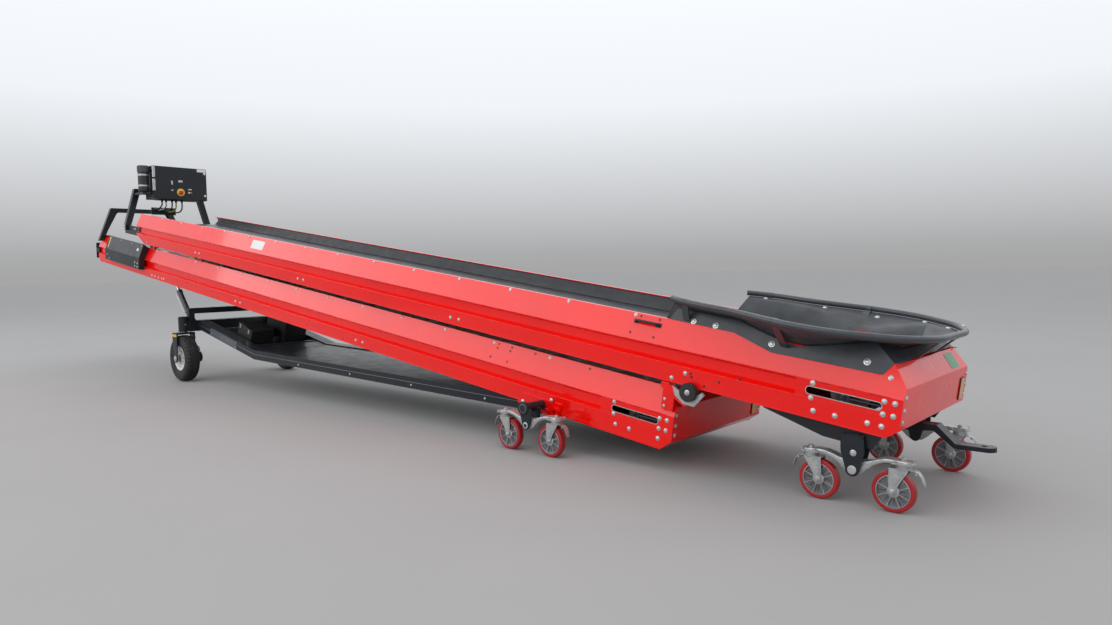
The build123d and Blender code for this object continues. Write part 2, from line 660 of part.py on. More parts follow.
GUIDE_S = LOWER_FEED - 140
GUIDE_N = -25
GUIDE_R = 52
GUIDE_ROLLER_R = 18
# Strap that holds the disc, (s from the disc's middle, n)
GUIDE_STRAP = [(145, -60), (145, -16), (110, -12), (22, -50), (-30, -50), (-80, -10), (-94, -22),
               (-40, -98), (30, -98), (90, -60)]


def guide_rollers():
    """Support rollers and guide discs that stand before the lower conveyor's feed end."""
    def guide(side):
        gap = 7
        disc = bar_y(-GUIDE_S, GUIDE_N, span(side, OUTER + gap, OUTER + gap + 30), GUIDE_R)
        roller = bar_y(-GUIDE_S, -FIT - GUIDE_ROLLER_R, span(side, OUTER - 48, OUTER + gap), GUIDE_ROLLER_R)
        arm = belt_plate([(GUIDE_S + s, n) for s, n in GUIDE_STRAP], span(side, OUTER + gap - 1, OUTER + gap + 11))
        web = belt_block((LOWER_FEED - 40, LOWER_FEED + 35), span(side, OUTER + FIT, OUTER + gap), (-160, -30))
        foot = belt_block((LOWER_FEED - 40, LOWER_FEED + 5), span(side, OUTER + FIT, OUTER + gap + 3), (-60, -16))
        return joined([disc, roller, arm, web, foot])
    return both_sides(guide)


# Carriage between the conveyors

WHEEL_N = -(STACK_DROP - FRAME_H) + FIT + IDLER_R


def roller_carriage():
    """Cross bar with two cheeks, four rollers and the two stub axles of the upper conveyor."""
    lip = OUTER - TOP_INSET - LIP_TOP
    cheek_y = (lip - 11, lip - 3)
    bar_n = (-38, -18)
    half = cheek_y[1]
    pieces = [belt_block((TILT_S - 25, TILT_S + 25), (-half, half), bar_n)]
    cheek = [(-80, bar_n[0]), (80, bar_n[0]), (80, -4), (40, 44), (-40, 44), (-80, -4)]
    for side in (-1, 1):
        pieces.append(belt_plate([(TILT_S + s, n) for s, n in cheek], span(side, *cheek_y)))
        pieces.append(bar_y(-TILT_S, TILT_N, span(side, half - 1, OUTER), TILT_R))
        for s in (TILT_S - 52, TILT_S + 52):
            pieces.append(bar_y(-s, WHEEL_N, span(side, half - 1, lip + LIP_TOP - 2), IDLER_R))
    return joined(pieces)


# Chassis

KNEE_X = WHEEL_X + 1290         # where the side beams bend up to the axle beam
POST_Y = (OUTER - 20, OUTER + 40)
SADDLE_Z = (730, 790)          # cross beam under the lower conveyor


AXLE_HALF = 60                 # half the axle beam's width along the machine
CROSS_HALF = 45                # and of a cross member
CROSS_H = 80
TRAY_T = 10
# Cross members between the side beams, (x from the feed corner, z of the underside)
CROSS_AT = [(HINGE[0] - 380, 216), (KNEE_X - 200, 345), (WHEEL_X + 410, 490)]


def chassis_frame():
    """Side beams, the axle beam, the cross members, the tray and the deck, which butt against each other."""
    pieces = both_sides(side_beam) + [axle_beam()]
    across = (-BEAM_Y[0], BEAM_Y[0])
    for x, z in CROSS_AT:
        middle = X_FEED + x
        pieces.append(block((middle - CROSS_HALF, middle + CROSS_HALF), across, (z, z + CROSS_H)))
    for top in (TRAY_TOP, DECK_TOP):
        sheet = [(X_FEED + x, z) for x, z in top + [(x, z - TRAY_T) for x, z in top[::-1]]]
        pieces.append(plate_xz(sheet, across))
    return pieces


def side_beam(side):
    """Bent beam with the lug, the lift hinge's pin and the ears of a feed bogie."""
    hx, hz = HINGE
    end_x = WHEEL_X + AXLE_HALF
    beam_top = [(hx - 160, hz + 20), (KNEE_X, 395), (end_x, AXLE_Z[1] - 2)]
    beam = beam_top + [(x, z - BEAM_H) for x, z in beam_top[::-1]]
    low = hz + 20 - BEAM_H
    lug = [(hx - 280, low), (hx + 40, low), (hx + 48, hz), (hx + 30, hz + 42), (hx - 30, hz + 42),
           (hx - 280, hz + 15)]
    inner = BEAM_Y[1] - 24
    pivot_x = X_FEED + BOGIE_LOWER[0]
    pivot_y = BOGIE_LOWER[1]
    pieces = [plate_xz([(X_FEED + x, z) for x, z in beam], span(side, *BEAM_Y)),
              plate_xz([(X_FEED + x, z) for x, z in lug], span(side, inner, BEAM_Y[1])),
              bar_y(X_FEED + hx, hz, span(side, inner, pivot_y + 45), HINGE_R),
              bar_y(X_FEED + hx, hz, span(side, pivot_y + 30, pivot_y + 48), HINGE_R + 12)]
    for y in (pivot_y - 45, pivot_y + 35):
        pieces.append(ear(pivot_x, span(side, y, y + 10), hz))
    pieces.append(bar_y(pivot_x, PIVOT_Z, span(side, pivot_y - 50, pivot_y + 50), PIVOT_R))
    return joined(pieces)


def axle_beam():
    """Axle beam with the kingpin housings, the posts, the saddle and the lift cylinders' feet."""
    middle = X_FEED + WHEEL_X
    across = (-POST_Y[1], POST_Y[1])
    post_x = (middle + 10, middle + AXLE_HALF)
    pieces = [block((middle - AXLE_HALF, middle + AXLE_HALF), across, AXLE_Z), block(post_x, across, SADDLE_Z)]
    for side in (-1, 1):
        pieces.extend(kingpin_housing(side))
        pieces.append(block(post_x, span(side, *POST_Y), (AXLE_Z[1] - 5, SADDLE_Z[1])))
        pieces.extend(cylinder_foot(side))
    return joined(pieces)


# Upper face of the power pack's tray, (x from the feed corner, z), between two cross members
TRAY_TOP = [(CROSS_AT[1][0] - CROSS_HALF, 360), (CROSS_AT[2][0] + CROSS_HALF, 565)]


# Upper face of the deck between the side beams, from the front cross member to the next one
DECK_TOP = [(CROSS_AT[0][0] - CROSS_HALF, 296), (KNEE_X, 385), (CROSS_AT[1][0] + CROSS_HALF, 417)]


def kingpin_housing(side):
    """Upright sleeve for a kingpin and the cheek that ties it to the axle beam."""
    x = X_FEED + WHEEL_X
    sleeve = bar_z(x, side * WHEEL_Y, (AXLE_Z[0], AXLE_Z[1] + 40), 50)
    tie = block((x - 50, x + 50), span(side, WHEEL_Y - 60, WHEEL_Y), AXLE_Z)
    bore = bar_z(x, side * WHEEL_Y, (AXLE_Z[0] - 1, AXLE_Z[1] + 41), KINGPIN_R + RUN)
    return [(sleeve + tie) - bore]


KINGPIN_R = 25


def cylinder_foot(side):
    """Two ears that hold a lift cylinder's foot, and their pin."""
    x, z = (X_FEED + CYL_BASE[0], CYL_BASE[1])
    ears = []
    for y in (CYL_Y - EYE_W / 2 - 11, CYL_Y + EYE_W / 2 + 1):
        outline = [(x - 24, z), (x + 24, z), (x + 90, AXLE_Z[1] + 2), (x + 90, AXLE_Z[1] - 40),
                   (x + 20, AXLE_Z[1] - 40)]
        ears.append(plate_xz(outline, span(side, y, y + 10)) + bar_y(x, z, span(side, y, y + 10), 24))
    pin = bar_y(x, z, span(side, CYL_Y - EYE_W / 2 - 2, CYL_Y + EYE_W / 2 + 2), PIN_R)
    return [joined(ears + [pin])]


PIN_R = 11


def hydraulic_pack():
    """Power pack: tank, motor and valve block as plain blocks on the sloping tray."""
    (x0, z0), (x1, z1) = TRAY_TOP
    angle = degrees(atan2(z1 - z0, x0 - x1))
    side = BEAM_Y[0] - 30
    tank = block((-200, 200), (40, side), (0, 250)) + block((-150, 150), (10 - side, -40), (0, 150))
    motor = Pos(60, 175, 250) * Cylinder(70, 150)
    bar = block((-120, 120), (-60, 60), (0, 90))
    place = Location((X_FEED + (x0 + x1) / 2, 0, (z0 + z1) / 2 + FIT), (0, angle, 0))
    return place * joined([tank, motor, bar])


# Steered wheels

CROWN_Z = (510, 530)


def steer_fork(side):
    """Kingpin, crown, two legs and the hub motor of one wheel."""
    x = X_FEED + WHEEL_X
    half = TYRE_W / 2
    crown = block((x - 55, x + 55), span(side, WHEEL_Y - half - 27, WHEEL_Y + half + 27), CROWN_Z)
    pin = bar_z(x, side * WHEEL_Y, (CROWN_Z[0], AXLE_Z[1] + 52), KINGPIN_R)
    collar = bar_z(x, side * WHEEL_Y, (CROWN_Z[1] - 2, AXLE_Z[0] - FIT), KINGPIN_R + 14)
    leg = [(x - 55, CROWN_Z[1]), (x + 55, CROWN_Z[1]), (x + 38, 225), (x - 38, 225)]
    pieces = [crown, pin, collar]
    for y in (WHEEL_Y - half - 27, WHEEL_Y + half + 15):
        pieces.append(plate_xz(leg, span(side, y, y + 12)) + bar_y(x, TYRE_R, span(side, y, y + 12), 45))
    pieces.append(bar_y(x, TYRE_R, span(side, WHEEL_Y - half - 110, WHEEL_Y - half - 20), 58))
    pieces.append(bar_y(x, TYRE_R, span(side, WHEEL_Y - half - 20, WHEEL_Y + half + 20), HUB_R - RUN))
    return joined(pieces)


HUB_R = 22
SIDEWALL = 9                   # how far the tyre's shoulders bulge past the bead


def tyre(side):
    """Tyre with a rounded crown and bulging walls."""
    half = TYRE_W / 2
    bead = half - 17
    inner = RIM_R + FIT
    outline = [
        Line((inner, -bead), (inner, bead)),
        ThreePointArc((inner, bead), (RIM_R + 50, half), (TYRE_R - 18, half - SIDEWALL)),
        ThreePointArc((TYRE_R - 18, half - SIDEWALL), (TYRE_R - 4, half - 28), (TYRE_R, half - 46)),
        Line((TYRE_R, half - 46), (TYRE_R, 46 - half)),
        ThreePointArc((TYRE_R, 46 - half), (TYRE_R - 4, 28 - half), (TYRE_R - 18, SIDEWALL - half)),
        ThreePointArc((TYRE_R - 18, SIDEWALL - half), (RIM_R + 50, -half), (inner, -bead)),
    ]
    ring = revolve(make_face(outline), Axis.Y)
    return Pos(X_FEED + WHEEL_X, side * WHEEL_Y, TYRE_R) * ring


def rim(side):
    """Dished rim with its hub sleeve, dish towards the machine's outside."""
    half = TYRE_W / 2 - 17
    face = 12
    outline = [(HUB_R, -40), (HUB_R, 55), (45, 55), (52, face + 14), (96, face + 14), (104, half - 4),
               (RIM_R - 8, half), (RIM_R, half), (RIM_R, -half), (RIM_R - 10, -half), (RIM_R - 12, half - 14),
               (108, face - 6), (52, face), (45, -40)]
    dish = revolve(make_face(Polyline(*outline, close=True)), Axis.Y)
    turned = dish if side > 0 else Rot(0, 0, 180) * dish
    return Pos(X_FEED + WHEEL_X, side * WHEEL_Y, TYRE_R) * turned


# Caster bogies

def bogie(pivot, side):
    """Rocking beam that dips to its pivot, with a plate at each end for a caster."""
    x, y = (X_FEED + pivot[0], side * pivot[1])
    half = SWIVEL_PITCH + 50
    plate_z = (CASTER_H - 6, CASTER_H + 8)
    beam = [(-half, plate_z[1]), (-150, plate_z[1] + 6), (-55, 224), (55, 224), (150, plate_z[1] + 6),
            (half, plate_z[1]), (half, plate_z[0]), (160, plate_z[0]), (66, 206), (40, PIVOT_Z - 22),
            (-40, PIVOT_Z - 22), (-66, 206), (-160, plate_z[0]), (-half, plate_z[0])]
    piece = plate_xz([(x + u, z) for u, z in beam], (y - 30, y + 30))
    piece = piece + bar_y(x, PIVOT_Z, (y - 34, y + 34), 26)
    for u in (-SWIVEL_PITCH, SWIVEL_PITCH):
        piece = piece + block((x + u - 50, x + u + 50), (y - 43, y + 43), plate_z)
        piece = piece - bar_z(x + u, y, (plate_z[0] - 1, plate_z[1] + 1), SWIVEL_PIN_R + RUN)
    return piece - bar_y(x, PIVOT_Z, (y - 40, y + 40), PIVOT_R + RUN)


SWIVEL_PIN_R = 10


def caster_fork(pivot, side, end):
    """Swivel fork: head, crown, two legs, axle and brake lever. end is 1 at the feed side."""
    x = X_FEED + pivot[0] + end * SWIVEL_PITCH
    y = side * pivot[1]
    top = CASTER_H - 6 - FIT
    gap = CASTER_W / 2 + 4
    axle_x = x - end * TRAIL
    pieces = [bar_z(x, y, (206, top), 36), bar_z(x, y, (206, CASTER_H + 6), SWIVEL_PIN_R)]
    crown = [(x - end * 66, 205), (x + end * 30, 205), (x + end * 30, 213), (x - end * 56, 213)]
    pieces.append(plate_xz(crown, (y - gap - 5, y + gap + 5)))
    for low in (y - gap - 5, y + gap):
        leg = [(x - end * 60, 213), (x + end * 26, 213), (axle_x + end * 18, CASTER_R),
               (axle_x - end * 18, CASTER_R)]
        pieces.append(plate_xz(leg, (low, low + 5)) + bar_y(axle_x, CASTER_R, (low, low + 5), 18))
    pieces.append(bar_y(axle_x, CASTER_R, (y - gap - 9, y + gap + 9), 8))
    lever = [(x + end * 26, 213), (x + end * 72, 200), (x + end * 96, 140), (x + end * 90, 138),
             (x + end * 66, 194), (x + end * 26, 205)]
    pieces.append(plate_xz(lever, (y - 15, y + 15)))
    return joined(pieces)


def caster_wheel(pivot, side, end):
    """Tread ring, web and hub."""
    bore = 8 + RUN
    outline = [(bore, -CASTER_W / 2 - 3), (bore, CASTER_W / 2 + 3), (26, CASTER_W / 2 + 3), (30, 8), (80, 8),
               (84, CASTER_W / 2), (CASTER_R - 3, CASTER_W / 2), (CASTER_R, CASTER_W / 2 - 6),
               (CASTER_R, 6 - CASTER_W / 2), (CASTER_R - 3, -CASTER_W / 2), (84, -CASTER_W / 2), (80, -8),
               (30, -8), (26, -CASTER_W / 2 - 3)]
    wheel = revolve(make_face(Polyline(*outline, close=True)), Axis.Y)
    x = X_FEED + pivot[0] + end * (SWIVEL_PITCH - TRAIL)
    return Pos(x, side * pivot[1], CASTER_R) * wheel


# Lift cylinders

BARREL_R = 27
ROD_R = 14
BARREL_START = 42              # from the foot pin to the barrel's closed end
GLAND = 390                    # and to its open end
ROD_BACK = 150                 # length of rod drawn inside the barrel


def bar_along(x, r):
    """Round bar along local X."""
    return Pos((x[0] + x[1]) / 2, 0, 0) * Rot(0, 90, 0) * Cylinder(r, x[1] - x[0])


def cylinder_frame(side):
    """Location at the foot pin with local +X along the rod, and the distance between the pins."""
    x0, z0 = (X_FEED + CYL_BASE[0], CYL_BASE[1])
    x1, z1 = slope_point(EYE_S, EYE_N)
    turn = degrees(atan2(z0 - z1, x1 - x0))
    return Location((x0, side * CYL_Y, z0), (0, turn, 0)), hypot(x1 - x0, z1 - z0)


def cylinder_barrel(side):
    """Barrel with its foot eye."""
    place, length = cylinder_frame(side)
    half = EYE_W / 2
    tube = bar_along((BARREL_START, GLAND), BARREL_R)
    room = bar_along((BARREL_START + 20, GLAND + 1), ROD_R + RUN)
    eye = bar_y(0, 0, (-half, half), EYE_R) + block((0, BARREL_START + 5), (-half, half), (-16, 16))
    hole = bar_y(0, 0, (-half - 1, half + 1), PIN_R + RUN)
    return place * ((tube + eye) - hole - room)


def cylinder_rod(side):
    """Rod with its eye and a short cross pin."""
    place, length = cylinder_frame(side)
    half = EYE_W / 2
    start = GLAND - ROD_BACK
    rod = bar_along((start, length), ROD_R)
    eye = bar_y(length, 0, (-half, half), EYE_R)
    return place * (rod + eye)


# Write every node

SIDES = ((-1, "near"), (1, "far"))
ENDS = ((1, "front"), (-1, "rear"))
UPPER_TUBES = [700 + 1000 * i for i in range(8)]
UPPER_IDLERS = [1200 + 2000 * i for i in range(4)]
LOWER_TUBES = [1900 + 1000 * i for i in range(8)]
LOWER_IDLERS = [3000 + 2000 * i for i in range(3)]


def lower_slope(part):
    """Place a piece of the lower conveyor."""
    pieces = part if isinstance(part, list) else [part]
    return [on_slope(Pos(0, 0, LOWER.base) * piece) for piece in pieces]


def upper_slope(part):
    """Place a piece of the upper conveyor."""
    pieces = part if isinstance(part, list) else [part]
    return [on_slope(piece) for piece in pieces]


def write_all():
    """Build and save each node once."""
    os.makedirs("parts", exist_ok=True)
    save("chassis_frame", chassis_frame())
    save("hydraulic_pack", hydraulic_pack())
    save("lower_belt", lower_slope(belt_loop(LOWER)))
    save("lower_rollers", lower_slope(drums(LOWER, LOWER_IDLERS)))
    save("lower_bed", lower_slope(bed(LOWER, LOWER_TUBES)))
    save("lower_end_plate", lower_slope(end_plate(LOWER)))
    save("lower_skirts", lower_slope(skirts(LOWER, (LOWER_FEED + 320, LOWER_HEAD - 250))))
    save("head_covers", lower_slope(head_covers()))
    save("guard_hoop", guard_hoop())
    save("tail_lights", tail_lights())
    save("guide_rollers", upper_slope(guide_rollers()))
    save("roller_carriage", upper_slope(roller_carriage()))
    save("upper_belt", upper_slope(belt_loop(UPPER)))
    save("upper_rollers", upper_slope(drums(UPPER, UPPER_IDLERS)))
    save("upper_bed", upper_slope(bed(UPPER, UPPER_TUBES)))
    save("upper_end_plate", upper_slope(end_plate(UPPER)))
    save("upper_skirts", upper_slope(skirts(UPPER, (715, UPPER.drum_head))))
    save("hopper_collar", upper_slope(hopper_collar()))
    save("hopper_rail", upper_slope(hopper_rail()))
    save("hopper_flap", upper_slope(hopper_flap()))
    save("feed_axle", upper_axle())
    save("drawbar", drawbar())
    save("control_arch", control_arch())
    save("control_cabinet", control_cabinet())
    save("cabinet_door", cabinet_door())
    save("document_tube", document_tube())
    for side, name in SIDES:
        save("upper_side_" + name, upper_slope(upper_side(side)))
        save("lower_side_" + name, lower_slope(lower_side(side)))
        save("steer_fork_" + name, steer_fork(side))
        save("tyre_" + name, tyre(side))
        save("rim_" + name, rim(side))
        save("lift_barrel_" + name, cylinder_barrel(side))
        save("lift_rod_" + name, cylinder_rod(side))
        for level, pivot in (("upper", BOGIE_UPPER), ("lower", BOGIE_LOWER)):
            save("bogie_" + level + "_" + name, bogie(pivot, side))
            for end, place in ENDS:
                label = level + "_" + name + "_" + place
                save("caster_fork_" + label, caster_fork(pivot, side, end))
                save("caster_wheel_" + label, caster_wheel(pivot, side, end))


write_all()
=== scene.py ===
import bpy
import bmesh
import json
from math import cos, hypot, pi, radians, sin, tan
from mathutils import Matrix, Vector, noise


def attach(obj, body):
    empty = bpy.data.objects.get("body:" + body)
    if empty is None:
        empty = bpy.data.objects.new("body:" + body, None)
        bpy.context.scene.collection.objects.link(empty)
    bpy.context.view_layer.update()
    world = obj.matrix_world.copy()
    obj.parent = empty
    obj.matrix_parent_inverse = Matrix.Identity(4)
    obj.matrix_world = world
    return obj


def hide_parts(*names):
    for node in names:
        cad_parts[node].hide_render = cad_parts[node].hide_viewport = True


# Mobile telescopic belt conveyor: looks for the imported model. Metres.
# Conveyor places are (s, y, n) as in the source: s uphill from the upper feed corner, n square to the slope.

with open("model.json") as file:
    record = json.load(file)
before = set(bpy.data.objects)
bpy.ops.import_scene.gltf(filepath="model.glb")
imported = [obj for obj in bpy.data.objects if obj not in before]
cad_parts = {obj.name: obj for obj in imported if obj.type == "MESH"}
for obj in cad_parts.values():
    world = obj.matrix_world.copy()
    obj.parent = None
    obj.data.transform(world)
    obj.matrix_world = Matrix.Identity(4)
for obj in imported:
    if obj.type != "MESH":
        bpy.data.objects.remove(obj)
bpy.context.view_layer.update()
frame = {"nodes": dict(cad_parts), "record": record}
nodes = frame["nodes"]

ALPHA = radians(7.8)
CA, SA = cos(ALPHA), sin(ALPHA)
Z_FEED = 0.354
X_FEED = (10.2 * CA + 0.1264 + 0.068 - 0.345) / 2
OUTER = 0.52          # outer face of the side frames
FOLD_N = 0.19         # where the slanted panel starts
FRAME_H = 0.338
LEAN = 0.06 / 0.148   # how far the slanted panel leans in
LOWER = -0.382        # n of the lower conveyor
LOWER_FEED = 1.18     # s of its feed corner
UP = Vector((SA, 0, CA))
ALONG = Vector((-CA, 0, SA))
BOTH = ((-1, "near"), (1, "far"))


def move(x, y, z):
    return Matrix.Translation((x, y, z))


def spin(angle, axis):
    return Matrix.Rotation(angle, 4, axis)


# Camera

def place_camera():
    data = bpy.data.cameras.new("camera")
    data.lens = 25.016
    data.sensor_width = 36
    data.clip_end = 400
    eye = bpy.data.objects.new("camera", data)
    right = Vector((0.74440592, 0.6674984, -0.01748467))
    up = Vector((-0.02577171, 0.05488719, 0.99815991))
    back = Vector((0.66722983, -0.74258554, 0.05806093))
    turn = Matrix((right, up, back)).transposed().to_4x4()
    eye.matrix_world = move(6.20317, -4.12602, 1.16179) @ turn
    bpy.context.collection.objects.link(eye)
    bpy.context.scene.camera = eye


place_camera()
bpy.context.scene.view_settings.view_transform = "Standard"


# Materials

class Nodes:
    """Short calls for one material's node tree."""

    def __init__(self, name):
        self.material = bpy.data.materials.new(name)
        self.material.use_nodes = True
        self.tree = self.material.node_tree
        self.shader = self.tree.nodes["Principled BSDF"]
        self.spot = self.add("TexCoord").outputs["Object"]

    def put(self, socket, value):
        if isinstance(value, bpy.types.NodeSocket):
            self.tree.links.new(value, socket)
        else:
            socket.default_value = value

    def fill(self, node, inputs):
        """Set or link a node's inputs by name, with _ for a space."""
        for key, value in inputs.items():
            self.put(node.inputs[key.replace("_", " ")], value)
        return node

    def add(self, kind, **inputs):
        return self.fill(self.tree.nodes.new("ShaderNode" + kind), inputs)

    def set(self, **inputs):
        self.fill(self.shader, inputs)

    def noise(self, scale, detail=3.0, rough=0.5, at=None):
        node = self.add("TexNoise", Scale=scale, Detail=detail, Roughness=rough, Vector=at or self.spot)
        return node.outputs["Fac"]

    def stretched(self, scale):
        return self.add("Mapping", Vector=self.spot, Scale=scale).outputs["Vector"]

    def fit(self, value, low, high, to_low, to_high):
        node = self.add("MapRange", Value=value, From_Min=low, From_Max=high, To_Min=to_low, To_Max=to_high)
        return node.outputs["Result"]

    def mix(self, share, first, second):
        node = self.add("Mix")
        node.data_type = "RGBA"
        return self.fill(node, {"Factor": share, "A": rgba(first), "B": rgba(second)}).outputs["Result"]

    def times(self, first, second):
        node = self.add("Math")
        node.operation = "MULTIPLY"
        self.put(node.inputs[0], first)
        self.put(node.inputs[1], second)
        return node.outputs[0]

    def facing_up(self):
        """How much a surface faces upwards, 0 to 1."""
        parts = self.add("SeparateXYZ", Vector=self.add("NewGeometry").outputs["Normal"])
        return self.fit(parts.outputs["Z"], 0.2, 0.95, 0, 1)

    def height(self, *layers):
        """Chain bumps, each (height, strength, distance)."""
        normal = None
        for value, strength, distance in layers:
            node = self.add("Bump", Height=value, Strength=strength, Distance=distance)
            if normal:
                self.put(node.inputs["Normal"], normal)
            normal = node.outputs["Normal"]
        self.put(self.shader.inputs["Normal"], normal)


def rgba(colour):
    if isinstance(colour, bpy.types.NodeSocket):
        return colour
    return tuple(colour) + (1,)


def paint(name, colour, other, rough, coat=0.0, dust=0.2, dust_colour=(0.3, 0.27, 0.24), gloss=0.5):
    """Sprayed paint: slow shifts of tone, orange peel, and dust on what faces up."""
    n = Nodes(name)
    tone = n.fit(n.noise(1.7, 4), 0.3, 0.7, 0, 1)
    specks = n.fit(n.noise(38, 6, 0.65), 0.46, 0.74, 0, dust)
    n.set(Base_Color=n.mix(n.times(specks, n.facing_up()), n.mix(tone, colour, other), dust_colour),
          Roughness=n.fit(n.noise(9, 5, 0.6), 0.3, 0.7, rough - 0.05, rough + 0.08),
          Coat_Weight=coat, Coat_Roughness=0.06, Specular_IOR_Level=gloss)
    n.height((n.noise(420, 2), 0.035, 0.0006), (n.noise(3.2, 2), 0.05, 0.012))
    return n.material


def zinc(name, tone, rough=0.42):
    """Hot-dip or plated zinc: crystals of differing grey, fine scratches."""
    n = Nodes(name)
    flake = n.add("TexVoronoi", Scale=170, Vector=n.spot).outputs["Color"]
    grey = n.add("RGBToBW", Color=flake).outputs[0]
    crystal = n.fit(grey, 0.2, 0.8, 0, 1)
    stain = n.fit(n.noise(22, 5, 0.6), 0.35, 0.7, 0, 0.5)
    colour = n.mix(stain, n.mix(crystal, [c * 0.72 for c in tone], tone), [c * 0.55 for c in tone])
    n.set(Base_Color=colour, Metallic=0.75, Roughness=n.fit(crystal, 0, 1, rough + 0.1, rough - 0.08))
    n.height((grey, 0.06, 0.0005), (n.noise(60, 4), 0.12, 0.001))
    return n.material


def rubber(name, colour, rough=0.62, dusty=0.35, grain=900, wave=0.0):
    """Rubber: grain, grey bloom in patches, and dust on what faces up."""
    n = Nodes(name)
    bloom = n.fit(n.noise(5.5, 6, 0.62), 0.36, 0.72, 0, dusty)
    base = n.mix(bloom, colour, [c * 2.1 + 0.022 for c in colour])
    streak = n.fit(n.noise(1, 4, 0.6, n.stretched((2.5, 26, 26))), 0.45, 0.75, 0, dusty)
    n.set(Base_Color=n.mix(n.times(streak, n.facing_up()), base, (0.15, 0.14, 0.13)),
          Roughness=n.fit(n.noise(14, 4), 0.3, 0.7, rough - 0.08, rough + 0.12), Specular_IOR_Level=0.4)
    layers = [(n.noise(grain, 2), 0.1, 0.0006)]
    if wave:
        layers.append((n.noise(7, 2), wave, 0.02))
    n.height(*layers)
    return n.material


def steel(name, tone, rough, scratch=0.3):
    """Bare turned or drawn steel with fine scratches."""
    n = Nodes(name)
    lines = n.noise(1, 3, 0.6, n.stretched((700, 40, 700)))
    dull = n.fit(n.noise(16, 5), 0.35, 0.7, 0, 0.6)
    n.set(Base_Color=n.mix(dull, tone, [c * 0.6 for c in tone]), Metallic=0.95,
          Roughness=n.fit(lines, 0.3, 0.7, rough - 0.05, rough + scratch * 0.4))
    n.height((lines, 0.05, 0.0003))
    return n.material


def lens(name, colour):
    """Ribbed lamp lens or reflector."""
    n = Nodes(name)
    ribs = n.add("TexWave", Scale=55, Vector=n.spot)
    ribs.bands_direction = "Z"
    n.set(Base_Color=n.mix(ribs.outputs["Fac"], [c * 0.55 for c in colour], colour), Roughness=0.12,
          Coat_Weight=0.8, Coat_Roughness=0.03)
    n.height((ribs.outputs["Fac"], 0.35, 0.0015))
    return n.material


M = {
    "red": paint("frame_red", (0.98, 0.003, 0.0), (0.9, 0.002, 0.0), 0.3, 0.8, 0.05, (0.45, 0.12, 0.09), 0.1),
    "dark": paint("frame_dark", (0.011, 0.014, 0.019), (0.017, 0.021, 0.027), 0.36, 0.1, 0.16, (0.3, 0.27, 0.24), 0.3),
    "grey": paint("frame_grey", (0.085, 0.102, 0.125), (0.105, 0.122, 0.145), 0.36, 0.2, 0.22),
    "black": paint("pack_dark", (0.01, 0.011, 0.012), (0.018, 0.019, 0.021), 0.42, 0.1, 0.3),
    "plain_black": paint("black_plastic", (0.012, 0.012, 0.013), (0.02, 0.02, 0.021), 0.5, 0.0, 0.25),
    "zinc": zinc("galvanised", (0.62, 0.64, 0.64)),
    "bolt": zinc("bolt_zinc", (0.78, 0.79, 0.77), 0.34),
    "roller": steel("roller_steel", (0.36, 0.36, 0.35), 0.34),
    "chrome": steel("rod_chrome", (0.82, 0.83, 0.84), 0.1, 0.1),
    "aluminium": steel("cast_aluminium", (0.6, 0.6, 0.61), 0.38),
    "dark_cast": steel("cast_web", (0.25, 0.25, 0.26), 0.45),
    "belt": rubber("belt_rubber", (0.024, 0.028, 0.034), 0.34, 0.3, 700, 0.12),
    "skirt": rubber("skirt_rubber", (0.028, 0.03, 0.034), 0.45, 0.25, 800, 0.25),
    "flap": rubber("flap_rubber", (0.052, 0.057, 0.064), 0.5, 0.45, 600, 0.2),
    "rail": paint("rail_grey", (0.04, 0.048, 0.056), (0.05, 0.059, 0.068), 0.34, 0.2, 0.2),
    "collar": paint("collar_grey", (0.022, 0.028, 0.035), (0.029, 0.036, 0.044), 0.38, 0.1, 0.2),
    "tyre": rubber("tyre", (0.016, 0.016, 0.017), 0.66, 0.5, 500),
    "tread": paint("caster_tread", (0.42, 0.01, 0.014), (0.34, 0.008, 0.012), 0.36, 0.2, 0.2),
    "rim": paint("rim_white", (0.8, 0.8, 0.78), (0.72, 0.72, 0.7), 0.34, 0.4, 0.5),
    "cylinder": paint("cylinder_black", (0.016, 0.017, 0.019), (0.03, 0.031, 0.034), 0.32, 0.3, 0.3),
    "tube": paint("tube_black", (0.018, 0.019, 0.021), (0.026, 0.027, 0.029), 0.45, 0.0, 0.35),
    "white": paint("plate_white", (0.8, 0.8, 0.79), (0.72, 0.72, 0.71), 0.35, 0.3, 0.2),
    "green": paint("plate_green", (0.012, 0.3, 0.09), (0.01, 0.24, 0.07), 0.3, 0.3, 0.1),
    "yellow": paint("marker_yellow", (0.8, 0.52, 0.02), (0.7, 0.44, 0.015), 0.35, 0.3, 0.2),
    "knob_red": paint("knob_red", (0.6, 0.012, 0.01), (0.52, 0.01, 0.008), 0.3, 0.4, 0.1),
    "lamp_red": lens("lamp_red", (0.62, 0.012, 0.01)),
    "lamp_amber": lens("lamp_amber", (0.85, 0.26, 0.01)),
    "lamp_clear": lens("lamp_clear", (0.62, 0.63, 0.64)),
    "cable_green": rubber("cable_green", (0.42, 0.5, 0.02), 0.45, 0.1, 900),
    "grey_plastic": paint("grey_plastic", (0.06, 0.064, 0.07), (0.075, 0.08, 0.086), 0.42, 0.0, 0.3),
    "timber": paint("tan_block", (0.55, 0.36, 0.16), (0.44, 0.28, 0.12), 0.6, 0.0, 0.3),
}

# Which finish each slot of the record takes
SLOTS = {"frame_red": "red", "frame_dark": "dark", "galvanised": "zinc", "roller_steel": "roller",
         "belt_rubber": "belt", "skirt_rubber": "skirt", "flap_rubber": "flap", "caster_tread": "tread",
         "tyre": "tyre", "rim_white": "rim", "cylinder_black": "cylinder", "rod_chrome": "chrome",
         "lamp_red": "lamp_red", "tube_black": "tube", "pack_dark": "black"}


